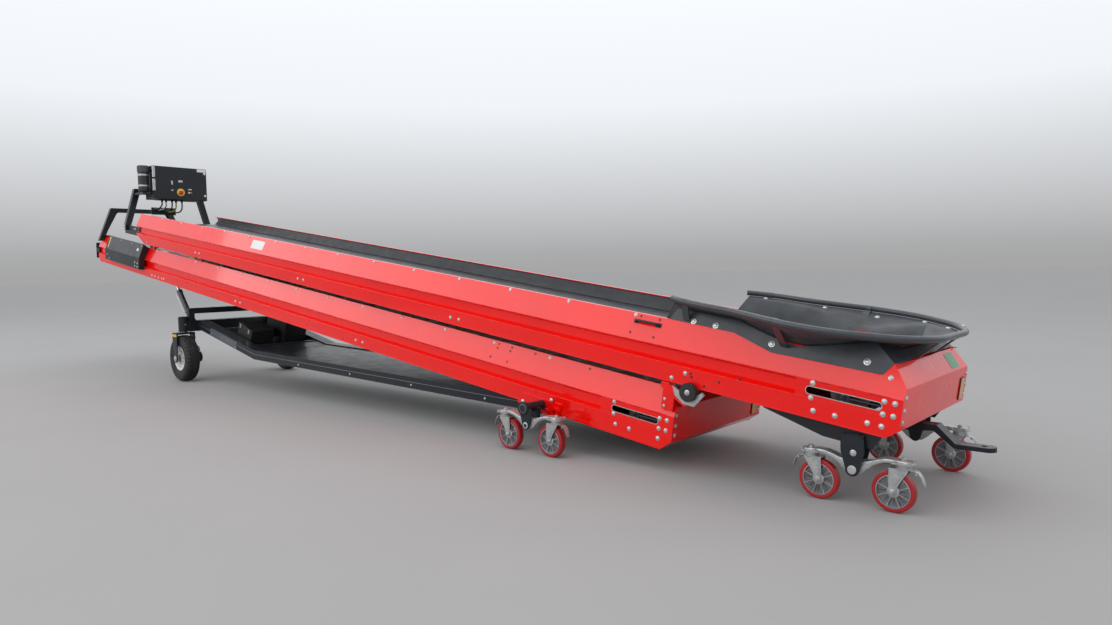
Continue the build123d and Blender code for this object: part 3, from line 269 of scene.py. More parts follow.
def dress_nodes():
    """Give each CAD node its material from the record's slot."""
    for row in frame["record"]["subparts"]:
        slots = nodes[row["node"]].data.materials
        slots.clear()
        slots.append(M[SLOTS[row["material_slot"]]])
    for node, look in (("hopper_rail", "rail"), ("hopper_collar", "collar")):
        nodes[node].data.materials[0] = M[look]


dress_nodes()


# Floor and light

SKY = ((0.0, (0.7, 0.7, 0.7)), (0.02, (0.74, 0.75, 0.76)), (0.2, (1.6, 1.65, 1.72)), (0.5, (1.9, 1.95, 2.02)),
       (1.0, (1.0, 1.02, 1.06)))


def studio():
    """Pale floor, a sky that brightens above the horizon, and two soft lights."""
    bpy.ops.mesh.primitive_plane_add(size=240)
    floor = bpy.context.object
    floor.name = "floor"
    n = Nodes("floor")
    n.set(Base_Color=n.mix(n.noise(0.6, 3), (0.37, 0.365, 0.36), (0.41, 0.405, 0.4)), Roughness=0.85)
    floor.data.materials.append(n.material)
    world = bpy.data.worlds.new("sky")
    bpy.context.scene.world = world
    world.use_nodes = True
    tree = world.node_tree
    back = tree.nodes["Background"]
    spot = tree.nodes.new("ShaderNodeTexCoord")
    parts = tree.nodes.new("ShaderNodeSeparateXYZ")
    ramp = tree.nodes.new("ShaderNodeValToRGB")
    tree.links.new(spot.outputs["Generated"], parts.inputs[0])
    tree.links.new(parts.outputs["Z"], ramp.inputs[0])
    elements = ramp.color_ramp.elements
    while len(elements) < len(SKY):
        elements.new(0.5)
    for element, (at, colour) in zip(elements, SKY):
        element.position = at
        element.color = rgba(colour)
    tree.links.new(ramp.outputs[0], back.inputs["Color"])
    back.inputs["Strength"].default_value = 0.55
    softbox("near_softbox", (-5.5, -12.5, 7.5), (0, 0, 0.9), (26, 6), 720)
    softbox("overhead_softbox", (1.5, 1.0, 11), (0, 0, 0.8), (16, 9), 350)


def softbox(name, place, target, size, watts):
    lamp = bpy.data.lights.new(name, "AREA")
    lamp.shape = "RECTANGLE"
    lamp.size, lamp.size_y = size
    lamp.energy = watts
    soft = bpy.data.objects.new(name, lamp)
    soft.location = place
    soft.rotation_euler = (Vector(target) - soft.location).to_track_quat("-Z", "Y").to_euler()
    bpy.context.collection.objects.link(soft)


studio()


# Shapes

LABEL, LABEL_EDGE = 0.0012, 0.0003    # thickness and chamfer of blank plates
EDGE_R = 0.0024                       # radius of the lines along folded edges


class Shape:
    """A mesh under construction, from skins, turned rings, chamfered plates and tubes."""

    def __init__(self):
        self.verts = []
        self.faces = []
        self.slots = []

    def add(self, verts, faces, slot=0):
        start = len(self.verts)
        self.verts += [Vector(v) for v in verts]
        self.faces += [[start + i for i in face] for face in faces]
        self.slots += [slot] * len(faces)

    def skin(self, rings, slot=0, closed=True, caps=True):
        """Join rings of equal count one after the other."""
        count = len(rings[0])
        faces = []
        for k in range(len(rings) - 1):
            for i in range(count if closed else count - 1):
                j = (i + 1) % count
                faces.append((k * count + i, k * count + j, (k + 1) * count + j, (k + 1) * count + i))
        if caps:
            last = (len(rings) - 1) * count
            faces.append(tuple(range(count))[::-1])
            faces.append(tuple(range(last, last + count)))
        self.add([v for ring in rings for v in ring], faces, slot)

    def turned(self, profile, place, slot=0, count=24, caps=True):
        """Turn (radius, height) about the place's Z axis."""
        turns = [2 * pi * i / count for i in range(count)]
        self.skin([[place @ Vector((r * cos(a), r * sin(a), h)) for a in turns] for r, h in profile], slot, True, caps)

    def plate(self, outline, place, thick, edge=0.001, slot=0):
        """Outline in the place's X and Y, thickened along its Z, with chamfered edges."""
        inside = inset(outline, edge)
        layers = [(inside, 0), (outline, edge), (outline, thick - edge), (inside, thick)]
        rings = [[place @ Vector((x, y, h)) for x, y in line] for line, h in layers]
        self.skin(rings, slot)

    def brick(self, low, high, place=Matrix(), edge=0.002, slot=0):
        """Chamfered block between two corners."""
        outline = oblong((low[0], high[0]), (low[1], high[1]))
        self.plate(outline, place @ move(0, 0, low[2]), high[2] - low[2], edge, slot)

    def tube(self, points, r, slot=0, count=10, closed=False):
        """Round bar along points, kept free of twist."""
        line = [Vector(p) for p in points]
        rings = []
        side = None
        for i, here in enumerate(line):
            before = line[i - 1] if closed or i > 0 else here
            after = line[(i + 1) % len(line)] if closed or i < len(line) - 1 else here
            way = (after - before).normalized()
            if side is None:
                side = way.orthogonal().normalized()
            side = (side - way * side.dot(way)).normalized()
            other = way.cross(side)
            radius = r[i] if isinstance(r, (list, tuple)) else r
            rings.append([here + (side * cos(2 * pi * k / count) + other * sin(2 * pi * k / count)) * radius
                          for k in range(count)])
        if closed:
            rings.append(rings[0])
        self.skin(rings, slot, True, not closed)

    def make(self, name, body, looks, slot, replaces=(), angle=38):
        """Turn the shape into a piece that rides on a body."""
        mesh = bpy.data.meshes.new(name)
        mesh.from_pydata(self.verts, [], self.faces)
        mesh.polygons.foreach_set("material_index", self.slots)
        for look in looks:
            mesh.materials.append(M[look])
        tidy = bmesh.new()
        tidy.from_mesh(mesh)
        bmesh.ops.remove_doubles(tidy, verts=tidy.verts, dist=0.00002)
        bmesh.ops.recalc_face_normals(tidy, faces=tidy.faces)
        tidy.to_mesh(mesh)
        tidy.free()
        mesh.shade_smooth()
        mesh.set_sharp_from_angle(angle=radians(angle))
        piece = bpy.data.objects.new(name, mesh)
        bpy.context.collection.objects.link(piece)
        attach(piece, body)
        if replaces:
            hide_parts(*replaces)
        return piece


def inset(outline, edge):
    """Move each corner of an outline inwards by edge."""
    area = sum(a[0] * b[1] - b[0] * a[1] for a, b in zip(outline, outline[1:] + outline[:1]))
    turn = 1 if area > 0 else -1
    moved = []
    for i, here in enumerate(outline):
        before = Vector(outline[i - 1])
        after = Vector(outline[(i + 1) % len(outline)])
        point = Vector(here)
        first = (point - before).normalized()
        last = (after - point).normalized()
        scale = edge * turn / max(1 + first.dot(last), 0.35)
        moved.append((point.x - (first.y + last.y) * scale, point.y + (first.x + last.x) * scale))
    return moved


def arc(x, y, r, start, end, count=6):
    """Points of an arc in degrees."""
    turns = [radians(start + (end - start) * i / count) for i in range(count + 1)]
    return [(x + r * cos(a), y + r * sin(a)) for a in turns]


def rounded(x, y, r, count=4):
    """Outline of a rounded rectangle with x and y limits."""
    return (arc(x[1] - r, y[1] - r, r, 0, 90, count) + arc(x[0] + r, y[1] - r, r, 90, 180, count)
            + arc(x[0] + r, y[0] + r, r, 180, 270, count) + arc(x[1] - r, y[0] + r, r, 270, 360, count))


def pad(x, y, r):
    """Outline of a rounded rectangle about its middle, from half sizes."""
    return rounded((-x, x), (-y, y), r)


def oblong(x, y):
    """Outline of a rectangle with x and y limits."""
    return [(x[0], y[0]), (x[1], y[0]), (x[1], y[1]), (x[0], y[1])]


def stadium(length, r, count=8):
    """Outline of a slot with round ends."""
    return arc(length / 2 - r, 0, r, -90, 90, count) + arc(r - length / 2, 0, r, 90, 270, count)


def flipped(line):
    """A (radius, height) profile backwards on the other side of height 0."""
    return [(r, -h) for r, h in line[::-1]]


def about(side):
    """Half a turn about Z for side -1, none for side 1."""
    return spin(0 if side > 0 else pi, "Z")


def around(place, count, start=0.0):
    """Copies of a place in even steps round its Z axis, from a share of a step on."""
    return [place @ spin(2 * pi * (i + start) / count, "Z") for i in range(count)]


def upright(x, y, side=1):
    """Matrix with X along the machine, Y up and Z towards a side."""
    return Matrix(((1, 0, 0, x), (0, 0, side, y), (0, 1, 0, 0), (0, 0, 0, 1)))


def facing(x):
    """Matrix with X across the machine, Y up and Z along it."""
    return Matrix(((0, 0, 1, x), (1, 0, 0, 0), (0, 1, 0, 0), (0, 0, 0, 1)))


def axes(point, z_axis, x_axis):
    """Matrix at a point with a Z axis and roughly an X axis."""
    z = Vector(z_axis).normalized()
    x = Vector(x_axis)
    x = (x - z * x.dot(z)).normalized()
    return Matrix.Translation(point) @ Matrix((x, z.cross(x), z)).transposed().to_4x4()


def slope(s, y, n):
    return Vector((X_FEED - s * CA + n * SA, y, Z_FEED + s * SA + n * CA))


def uphill(start, end, y, n):
    """Points of a line along a conveyor."""
    return [slope(start + (end - start) * i / 4, y, n) for i in range(5)]


def upward(way):
    """Unit vector along a direction or against it, whichever points up."""
    way = way.normalized()
    return -way if way.dot(UP) < 0 else way


def on_web(s, n, base=0.0, side=-1, out=0.0):
    """A place on a side frame's flat web, Z outwards and X uphill."""
    return axes(slope(s, side * (OUTER + out), n + base), (0, side, 0), ALONG)


def on_panel(s, n, base=0.0, side=-1, out=0.0):
    """A place on a side frame's slanted panel."""
    normal = Vector((0, side * 0.9268, 0)) + UP * 0.3757
    return axes(slope(s, side * (OUTER - (n - FOLD_N) * LEAN), n + base) + normal * out, normal, ALONG)


def on_nose(feed, nose, y, n, base=0.0, slanted=False):
    """A place on an end plate's upright or slanted face, X towards the far side."""
    if slanted:
        point = slope(feed - nose + (n - 0.241) * 64 / 77, y, n + base)
        return axes(point, ALONG * -0.769 + UP * 0.639, (0, 1, 0))
    return axes(slope(feed - nose, y, n + base), -ALONG, (0, 1, 0))


def bolt(shape, place, r=0.0125, slot=0):
    """Domed head on a washer."""
    k = r / 0.0125
    profile = [(0.0125, 0), (0.0125, 0.0014), (0.0117, 0.002), (0.0092, 0.002), (0.0089, 0.0046), (0.0066, 0.0066),
               (0.003, 0.0074)]
    shape.turned([(a * k, b * k) for a, b in profile], place, slot, 12)


def nut(shape, place, r=0.01, slot=0, stud=0.006):
    """Washer, hexagon nut and the end of its stud."""
    shape.turned([(r * 1.35, 0), (r * 1.35, r * 0.14), (r * 1.25, r * 0.2)], place, slot, 14)
    shape.turned([(r, r * 0.2), (r * 1.04, r * 0.32), (r * 1.04, r * 0.9), (r * 0.86, r * 1.04)], place, slot, 6)
    shape.turned([(r * 0.52, r), (r * 0.52, r + stud * 0.8), (r * 0.42, r + stud)], place, slot, 10)


def finish(node, look, test):
    """Give the faces of a CAD node whose middles pass a test another material."""
    mesh = nodes[node].data
    mesh.materials.append(M[look])
    index = len(mesh.materials) - 1
    for face in mesh.polygons:
        if test(face.center):
            face.material_index = index


# Fasteners and small plates on the conveyors

def conveyor_fasteners():
    """Bolts, plug holes and slot trims of both conveyors, one piece for each body."""
    upper, lower = Shape(), Shape()
    for side in (-1, 1):
        for i in range(14):
            bolt(upper, on_panel(1.494 + 0.522 * i, 0.325, 0, side))
        for s in (2.976, 3.067, 5.07, 5.165, 7.178, 7.266):
            bolt(upper, on_web(s, 0.048, 0, side))
        for s, n in ((0.371, 0.176), (0.371, 0.103), (0.351, 0.042), (0.243, 0.044), (0.088, 0.049), (0.024, 0.049),
                     (0.027, 0.167), (-0.021, 0.167), (0.026, 0.107), (-0.021, 0.108)):
            bolt(upper, on_web(s, n, 0, side), 0.0135)
        bolt(upper, on_panel(0.025, 0.275, 0, side))
        for s, n in ((1.172, 0.025), (1.088, 0.068)):
            bolt(upper, on_web(s, n, 0, side))
        for s, n in ((1.053, 0.074), (1.046, 0.057), (0.877, 0.065), (0.963, 0.024), (0.759, 0.109)):
            plug(upper, on_web(s, n, 0, side))
        for s, n in ((1.455, 0.323), (1.324, 0.323), (1.494, 0.225), (1.329, 0.224)):
            plug(upper, on_panel(s, n, 0, side))
        for i in range(13):
            bolt(lower, on_panel(2.129 + 0.5237 * i, 0.322, LOWER, side))
        for s in (4.129, 4.225, 6.236, 6.334):
            bolt(lower, on_web(s, 0.045, LOWER, side))
        for s in (8.09, 8.14, 8.24, 8.34, 8.43):
            bolt(lower, on_web(s, 0.033, LOWER, side))
        for s, n in ((1.548, 0.177), (1.545, 0.105), (1.525, 0.045), (1.424, 0.044), (1.221, 0.159), (1.172, 0.159),
                     (1.221, 0.101), (1.173, 0.1), (1.22, 0.043)):
            bolt(lower, on_web(s, n, LOWER, side), 0.0135)
        for s, n in ((2.284, 0.002), (2.12, 0.026), (2.036, 0.069)):
            bolt(lower, on_web(s, n, LOWER, side, 0.008), 0.014)
        for s, n in ((2.606, 0.321), (2.606, 0.293), (2.476, 0.32), (2.483, 0.296), (2.643, 0.227), (2.478, 0.225),
                     (2.261, 0.32), (1.796, 0.319)):
            plug(lower, on_panel(s, n, LOWER, side))
        slot_trim(upper, side, 0, (0.036, 0.401), 0.22)
        slot_trim(lower, side, LOWER, (1.231, 1.562), 1.4)
    for y in (-0.494, 0.494):
        for n in (0.199, 0.139, 0.083):
            bolt(upper, on_nose(0, 0.056, y, n))
            bolt(lower, on_nose(LOWER_FEED, 0.051, y, n - 0.003, LOWER))
    for name, shape in (("upper", upper), ("lower", lower)):
        shape.make(name + "_fasteners", name + "_conveyor", ("bolt", "plain_black", "dark", "zinc"), "galvanised")


def plug(shape, place):
    """Black plug in an unused hole."""
    shape.turned([(0.0075, 0), (0.0075, 0.0008), (0.0062, 0.0012), (0.003, 0.0005)], place, 1, 10)


def slot_trim(shape, side, base, ends, axle_s):
    """Bright rim of a take-up slot, with the bearing block, its nut and the screw that draws it."""
    middle = (ends[0] + ends[1]) / 2
    length = ends[1] - ends[0]
    place = on_web(middle, 0.139, base, side)
    inside = stadium(length, 0.0175)
    outside = stadium(length + 0.008, 0.0215)
    rings = [[place @ Vector((x, y, h)) for x, y in line]
             for line, h in ((inside, -0.004), (inside, 0.0009), (outside, 0.0009), (outside, 0.0))]
    shape.skin(rings, 3, True, False)
    at = axle_s - middle
    shape.plate(oblong((at - 0.034, at + 0.034), (-0.0165, 0.0165)), place @ move(0, 0, -0.014), 0.012, 0.002, 2)
    nut(shape, place @ move(at, 0, -0.002), 0.011, 2, 0.004)
    start = place @ Vector((at, 0, -0.009))
    end = place @ Vector((0.004 - length / 2, 0, -0.009))
    steps = 40
    line = [start.lerp(end, i / steps) for i in range(steps + 1)]
    shape.tube(line, [0.005 if i % 2 else 0.0042 for i in range(steps + 1)], 2, 8)


conveyor_fasteners()


def conveyor_fittings():
    """Handles, blank plates and reflectors."""
    for side, label in BOTH:
        grip = Shape()
        place = on_panel(1.396, 0.292, 0, side)
        bow = [(-0.077, 0.0), (-0.077, 0.016), (-0.07, 0.026), (-0.058, 0.03), (0.058, 0.03), (0.07, 0.026),
               (0.077, 0.016), (0.077, 0.0)]
        grip.tube([place @ Vector((x, 0, h)) for x, h in bow], [0.01, 0.0085, 0.008, 0.008, 0.008, 0.008, 0.0085, 0.01])
        for x in (-0.077, 0.077):
            grip.plate(pad(0.018, 0.013, 0.006), place @ move(x, 0, 0), 0.004)
        grip.make("pull_handle_" + label, "upper_conveyor", ("plain_black",), "frame_dark")
    signs = Shape()
    signs.plate(pad(0.115, 0.043, 0.006), on_panel(5.971, 0.267, 0, -1), LABEL, LABEL_EDGE)
    signs.make("blank_plate_side", "upper_conveyor", ("white",), "rim_white")
    green = Shape()
    green.plate(pad(0.068, 0.044, 0.006), on_nose(0, 0.056, 0.305, 0.285, 0, True), LABEL, LABEL_EDGE)
    green.make("blank_plate_nose", "upper_conveyor", ("green",), "frame_red")
    for name, feed, nose, base, low, half in (("upper", 0, 0.056, 0, 0.125, 0.062),
                                              ("lower", LOWER_FEED, 0.051, LOWER, 0.098, 0.038)):
        strip = Shape()
        place = on_nose(feed, nose, 0.432, low, base)
        strip.plate(pad(0.036, half, 0.008), place, 0.004, 0.0012)
        strip.plate(pad(0.031, half - 0.004, 0.006), place @ move(0, 0, 0.004), 0.003, 0.001, 1)
        strip.make("reflector_" + name, name + "_conveyor", ("plain_black", "lamp_amber"), "lamp_red")


conveyor_fittings()


# Casters and bogies

PIVOTS = {"upper": (X_FEED - 0.155, 0.46), "lower": (X_FEED - 2.12, 0.66)}    # (x, y) of the rocker pivots
SWIVEL_X, PIVOT_Z = 0.22, 0.18
WHEEL_X, WHEEL_Z = -0.042, 0.1    # a caster's axle behind its swivel axis, and above the ground


def caster_wheel(place):
    """Tread ring on a cast wheel with radial fins."""
    shape = Shape()
    hub = place @ move(WHEEL_X, 0, WHEEL_Z) @ spin(-pi / 2, "X")
    tread = [(0.0785, 0.0205), (0.085, 0.022), (0.094, 0.0212), (0.0982, 0.0176), (0.0997, 0.011), (0.1, 0.004)]
    shape.turned(tread + flipped(tread), hub, 0, 48, False)
    rim = [(0.0788, 0.0205), (0.0784, 0.0224), (0.0756, 0.0228), (0.0742, 0.0205), (0.0736, 0.0085)]
    for way in (1, -1):
        shape.turned([(r, h * way) for r, h in rim], hub, 1, 48, False)
        shape.turned([(0.0736, 0.0085 * way), (0.03, 0.0075 * way)], hub, 2, 48, False)
        boss = [(0.03, 0.0075), (0.0285, 0.0195), (0.0265, 0.0215), (0.015, 0.0245), (0.009, 0.0245)]
        shape.turned([(r, h * way) for r, h in boss], hub, 1, 32, False)
        for fin in around(hub, 8, 0.5):
            low, high = 0.007 * way, 0.0175 * way
            verts = [(0.0275, -0.0026, low), (0.0275, 0.0026, low), (0.0742, 0.003, low), (0.0742, -0.003, low),
                     (0.0275, -0.002, high), (0.0275, 0.002, high), (0.05, 0.0016, high * 0.88),
                     (0.0742, 0.0022, high), (0.0742, -0.0022, high), (0.05, -0.0016, high * 0.88)]
            faces = [(4, 5, 6, 9), (9, 6, 7, 8), (0, 4, 9, 8, 3), (1, 2, 7, 6, 5), (0, 1, 5, 4), (2, 3, 8, 7)]
            shape.add([fin @ Vector(v) for v in verts], faces, 1)
    return shape


FORK_LEG = ([(-0.06, 0.2125), (-0.059, 0.2), (-0.0605, 0.175), (-0.061, 0.145), (-0.059, 0.118)]
            + arc(WHEEL_X, WHEEL_Z, 0.0165, 180, 360, 8)
            + [(-0.024, 0.118), (-0.013, 0.14), (0.004, 0.168), (0.018, 0.188), (0.0255, 0.2), (0.026, 0.2125)])
FORK_RIB = [(-0.052, 0.196), (-0.052, 0.128), (-0.042, 0.12), (-0.033, 0.126), (-0.012, 0.164), (0.006, 0.188),
            (0.006, 0.196)]
# Brake pedal from the fork out, (x, z, half width)
PEDAL = [(0.018, 0.2105, 0.0175), (0.046, 0.2085, 0.0172), (0.066, 0.201, 0.016), (0.08, 0.182, 0.0145),
         (0.0885, 0.16, 0.0125), (0.0925, 0.144, 0.0085), (0.093, 0.14, 0.004)]


def caster_fork(place):
    """Pressed fork with a swivel head, an axle bolt and a brake pedal."""
    shape = Shape()
    head = [(0.019, 0.2065), (0.035, 0.2075), (0.0372, 0.212), (0.0372, 0.2185), (0.0335, 0.221), (0.0335, 0.225),
            (0.036, 0.227), (0.036, 0.233), (0.033, 0.2336), (0.012, 0.2337)]
    shape.turned(head, place, 0, 32)
    shape.turned([(0.0098, 0.233), (0.0098, 0.248)], place, 0, 16)
    nut(shape, place @ move(0, 0, 0.2482), 0.0125, 0, 0.004)
    shape.plate(rounded((-0.0615, 0.0275), (-0.031, 0.031), 0.016, 6), place @ move(0, 0, 0.2065), 0.0062, 0.0016)
    for way in (1, -1):
        leg = place @ upright(0, way * 0.0262, way)
        shape.plate(FORK_LEG, leg, 0.0046)
        shape.plate(FORK_RIB, leg @ move(0, 0, 0.0044), 0.0016, 0.0014)
        nut(shape, leg @ move(WHEEL_X, WHEEL_Z, 0.0046), 0.0098, 0, 0.004)
    rings = []
    for i, (x, z, half) in enumerate(PEDAL):
        before = PEDAL[max(i - 1, 0)]
        after = PEDAL[min(i + 1, len(PEDAL) - 1)]
        way = Vector((after[0] - before[0], 0, after[1] - before[1])).normalized()
        up = Vector((-way.z, 0, way.x)) * 0.0018
        mid = Vector((x, 0, z))
        side = Vector((0, half, 0))
        rings.append([place @ (mid + p) for p in (side + up, up - side, -side - up, side - up)])
    shape.skin(rings)
    shape.tube([place @ Vector((0.06, y, 0.196)) for y in (-0.022, -0.011, 0, 0.011, 0.022)], 0.0045)
    return shape


def casters():
    """A wheel and a fork for each end of each bogie."""
    for level, (x, y) in PIVOTS.items():
        for side, name in BOTH:
            for way, end in ((1, "front"), (-1, "rear")):
                label = "_".join((level, name, end))
                place = move(x + way * SWIVEL_X, side * y, 0) @ about(way)
                caster_wheel(place).make("wheel_" + label, "caster_" + label, ("tread", "aluminium", "dark_cast"),
                                         "caster_tread", ["caster_wheel_" + label], 30)
                caster_fork(place).make("fork_" + label, "swivel_" + label, ("zinc",), "galvanised",
                                        ["caster_fork_" + label])


casters()


# Half of a bogie beam from its pivot out, (x, top, bottom)
BEAM_LINE = [(0.0, 0.2235, 0.156), (0.03, 0.224, 0.158), (0.05, 0.225, 0.173), (0.07, 0.229, 0.193),
             (0.09, 0.2355, 0.209), (0.115, 0.2445, 0.222), (0.14, 0.251, 0.23), (0.165, 0.253, 0.2338),
             (0.2, 0.2515, 0.234), (0.235, 0.2495, 0.234), (0.262, 0.248, 0.234)]


def bogies():
    """Pressed rocker beams with their caster plates and nuts."""
    line = [(-a, b, c) for a, b, c in BEAM_LINE[:0:-1]] + BEAM_LINE
    plate = [(-0.05, -0.036), (-0.043, -0.043), (0.038, -0.043), (0.05, -0.022), (0.05, 0.022), (0.038, 0.043),
             (-0.043, 0.043), (-0.05, 0.036)]
    for level, (x, y) in PIVOTS.items():
        for side, label in BOTH:
            place = move(x, y * side, 0)
            shape = Shape()
            shape.skin([[place @ Vector((u, v, h)) for v, h in rounded((-0.03, 0.03), (low, top), 0.0055, 3)]
                        for u, top, low in line])
            shape.turned([(0.019, -0.034), (0.0255, -0.0335), (0.026, -0.032), (0.026, 0.032), (0.0255, 0.0335),
                          (0.019, 0.034)], place @ move(0, 0, PIVOT_Z) @ spin(-pi / 2, "X"), 0, 32)
            for way in (-1, 1):
                spot = place @ move(way * SWIVEL_X, 0, 0) @ about(way)
                shape.plate(plate, spot @ move(0, 0, 0.2342), 0.0085, 0.0012)
                for a in (-0.0324, 0.0324):
                    for b in (-0.0365, 0.0365):
                        nut(shape, spot @ move(a, b, 0.2427), 0.0062, 0, 0.005)
            shape.make("beam_" + level + "_" + label, "bogie_" + level + "_" + label, ("zinc",), "galvanised",
                       ["bogie_" + level + "_" + label])


EAR = ([(-0.056, 0.345), (-0.056, 0.268), (-0.034, 0.185)] + arc(0, 0.182, 0.034, 180, 360, 10)
       + [(0.034, 0.185), (0.056, 0.262)] + arc(0.026, 0.315, 0.03, 0, 90, 6))


def ears():
    """Rounded cover plates with two bolts outside each rocker pivot."""
    for level, body in (("upper", "upper_conveyor"), ("lower", "chassis")):
        x, y = PIVOTS[level]
        shape = Shape()
        for side in (-1, 1):
            place = upright(x, side * (y + 0.0455), side)
            if level == "upper":
                shape.plate(EAR, place, 0.006, 0.0015)
                nut(shape, place @ move(0.006, 0.262, 0.006), 0.0115, 1)
                shape.turned([(0.0215, 0.0005), (0.0215, 0.0085), (0.0195, 0.0105), (0.011, 0.0112)],
                             place @ move(0, PIVOT_Z, 0.001), 1)
            else:
                shape.turned([(0.02, 0.0), (0.02, 0.0034), (0.0185, 0.0042), (0.011, 0.0044)],
                             place @ move(0, PIVOT_Z, 0), 1)
                shape.turned([(0.043, -0.0005), (0.0445, 0.0005), (0.0445, 0.0026), (0.0425, 0.004), (0.02, 0.0044)],
                             place @ move(-0.02, 0.285, 0.0), 0, 36)
        shape.make("rocker_plates_" + level, body, ("dark", "bolt"), "frame_dark")


bogies()
ears()


# Skirts and folded edges

def skirts():
    """Rubber strips that wave a little from the frames' upper lips down to the belts."""
    for name, base, ends in (("upper", 0.0, (0.715, 8.8)), ("lower", LOWER, (1.5, 9.95))):
        shape = Shape()
        count = int((ends[1] - ends[0]) / 0.055)
        for side in (-1, 1):
            rings = []
            for i in range(count + 1):
                s = ends[0] + (ends[1] - ends[0]) * i / count
                lift = noise.noise(Vector((s * 1.9, side * 3.1, base)))
                lift += 0.5 * noise.noise(Vector((s * 5.3, side, 7.7)))
                front, back = [], []
                for k in range(6):
                    t = k / 5
                    y = 0.447 - 0.0625 * t + 0.004 * sin(pi * t)
                    n = 0.333 - 0.0868 * t - 0.003 * sin(pi * t) + 0.0032 * lift * t * (1 - t * 0.85)
                    y += 0.0075 * lift * t * t
                    front.append(slope(s, side * (y + 0.0012), n + base))
                    back.append(slope(s, side * (y - 0.003), n + base + 0.001))
                rings.append(front + back[::-1])
            shape.skin(rings)
        shape.make("skirts_" + name, name + "_conveyor", ("skirt",), "skirt_rubber", [name + "_skirts"], 60)


skirts()


def beads():
    """Rounded folds of the side frames, which catch the light as thin lines."""
    for name, base, ends, edge_end in (("upper", 0.0, (0.002, 8.918), 8.676),
                                       ("lower", LOWER, (1.182, 10.198), 10.138)):
        shape = Shape()
        for side in (-1, 1):
            for y, n, r in ((OUTER - 0.0024, 0.0998, 0.003), (OUTER - 0.0026, FOLD_N, 0.0031),
                            (OUTER - 0.0622, FRAME_H - 0.0026, 0.0028)):
                shape.tube(uphill(ends[0], ends[1], side * y, n + base), r)
            shape.tube(uphill(ends[0], edge_end, side * (OUTER - 0.0024), 0.0026 + base), 0.0028)
        shape.make("folds_" + name, name + "_conveyor", ("red",), "frame_red")


beads()


# Steered wheels

WHEEL = (X_FEED - 7.39, 0.6, 0.25)
TYRE_LINE = [(0.1303, 0.0555), (0.1345, 0.059), (0.14, 0.06), (0.144, 0.0618), (0.15, 0.0655), (0.153, 0.0668),
             (0.1555, 0.0662), (0.17, 0.0705), (0.185, 0.0723), (0.2, 0.0715), (0.212, 0.0692), (0.215, 0.0697),
             (0.218, 0.068), (0.228, 0.0648), (0.235, 0.0605), (0.2405, 0.0545), (0.244, 0.048), (0.2456, 0.043),
             (0.24, 0.0422), (0.2398, 0.0362), (0.2468, 0.035), (0.248, 0.026), (0.2484, 0.02), (0.2415, 0.0192),
             (0.2413, 0.0128), (0.249, 0.0118), (0.2496, 0.004)]
TYRE_STEPS = 180


def tyre(hub):
    """Ribbed tyre with lugs cut into its shoulders and sipes between its ribs."""
    shape = Shape()
    rings = []
    for j in range(TYRE_STEPS):
        a = 2 * pi * j / TYRE_STEPS
        ring = []
        for r, h in TYRE_LINE + flipped(TYRE_LINE):
            way = 1 if h > 0 else -1
            if r > 0.247 and abs(h) > 0.019 and (j + (3 if h < 0 else 0)) % 5 == 0:
                r -= 0.0028
            elif abs(h) > 0.0425 and r > 0.23 and (j + (2 if h < 0 else 0)) % 5 < 2:
                r -= 0.006
                h -= 0.003 * way
            ring.append(hub @ Vector((r * cos(a), r * sin(a), h)))
        rings.append(ring)
    shape.skin(rings + rings[:1], 0, False, False)
    return shape


def wheels():
    """Tyres, and the nuts, hub caps, valves and lips of their rims."""
    for side, label in BOTH:
        hub = move(WHEEL[0], side * WHEEL[1], WHEEL[2]) @ spin(-side * pi / 2, "X")
        tyre(hub).make("tyre_" + label + "_tread", "wheel_" + label, ("tyre",), "tyre", ["tyre_" + label], 34)
        trim = Shape()
        for spot in around(hub, 5, 0.3):
            nut(trim, spot @ move(0.0735, 0, 0.0262), 0.0105, 0, 0.008)
        trim.turned([(0.0455, 0.0262), (0.0455, 0.0535), (0.044, 0.0556), (0.03, 0.056)], hub, 1, 32)
        trim.turned([(0.0055, 0), (0.0052, 0.01), (0.0038, 0.012), (0.0038, 0.022), (0.0046, 0.023), (0.0046, 0.03)],
                    hub @ move(0.108, 0.012, 0.04), 2, 12)
        lip = [(0.1262, 0.0545), (0.1285, 0.057), (0.131, 0.0572), (0.1318, 0.0552), (0.13, 0.053), (0.1262, 0.0545)]
        trim.turned(lip, hub, 3, 64, False)
        trim.turned([(r, -h) for r, h in lip], hub, 3, 64, False)
        trim.make("rim_trim_" + label, "wheel_" + label, ("bolt", "dark_cast", "plain_black", "rim"), "rim_white")


wheels()


def hub_motor(shape, side):
    """Wheel motor with its flange bolts, ports and pipes."""
    motor = move(WHEEL[0], side * WHEEL[1], WHEEL[2]) @ spin(side * pi / 2, "X")
    body = [(0.03, 0.099), (0.056, 0.1), (0.058, 0.102), (0.058, 0.112), (0.05, 0.114), (0.05, 0.13), (0.056, 0.132),
            (0.056, 0.166), (0.052, 0.171), (0.03, 0.173), (0.028, 0.181), (0.012, 0.1822)]
    shape.turned(body, motor, 0, 40)
    for spot in around(motor, 6):
        bolt(shape, spot @ move(0.043, 0, 0.1722), 0.0068, 2)
    for x in (-0.022, 0.022):
        shape.turned([(0.012, 0), (0.012, 0.008), (0.009, 0.01), (0.009, 0.018)],
                     move(WHEEL[0] + x, side * (WHEEL[1] - 0.15), 0.304), 2, 6)
        pipe = [(1, 0.15, 0.318), (1, 0.15, 0.34), (0.9, 0.146, 0.358), (0.8, 0.129, 0.372), (0.8, 0.112, 0.388),
                (0.8, 0.1065, 0.41), (0.8, 0.1065, 0.47)]
        shape.tube([(WHEEL[0] + x * a, side * (WHEEL[1] - b), c) for a, b, c in pipe], 0.0062, 4)


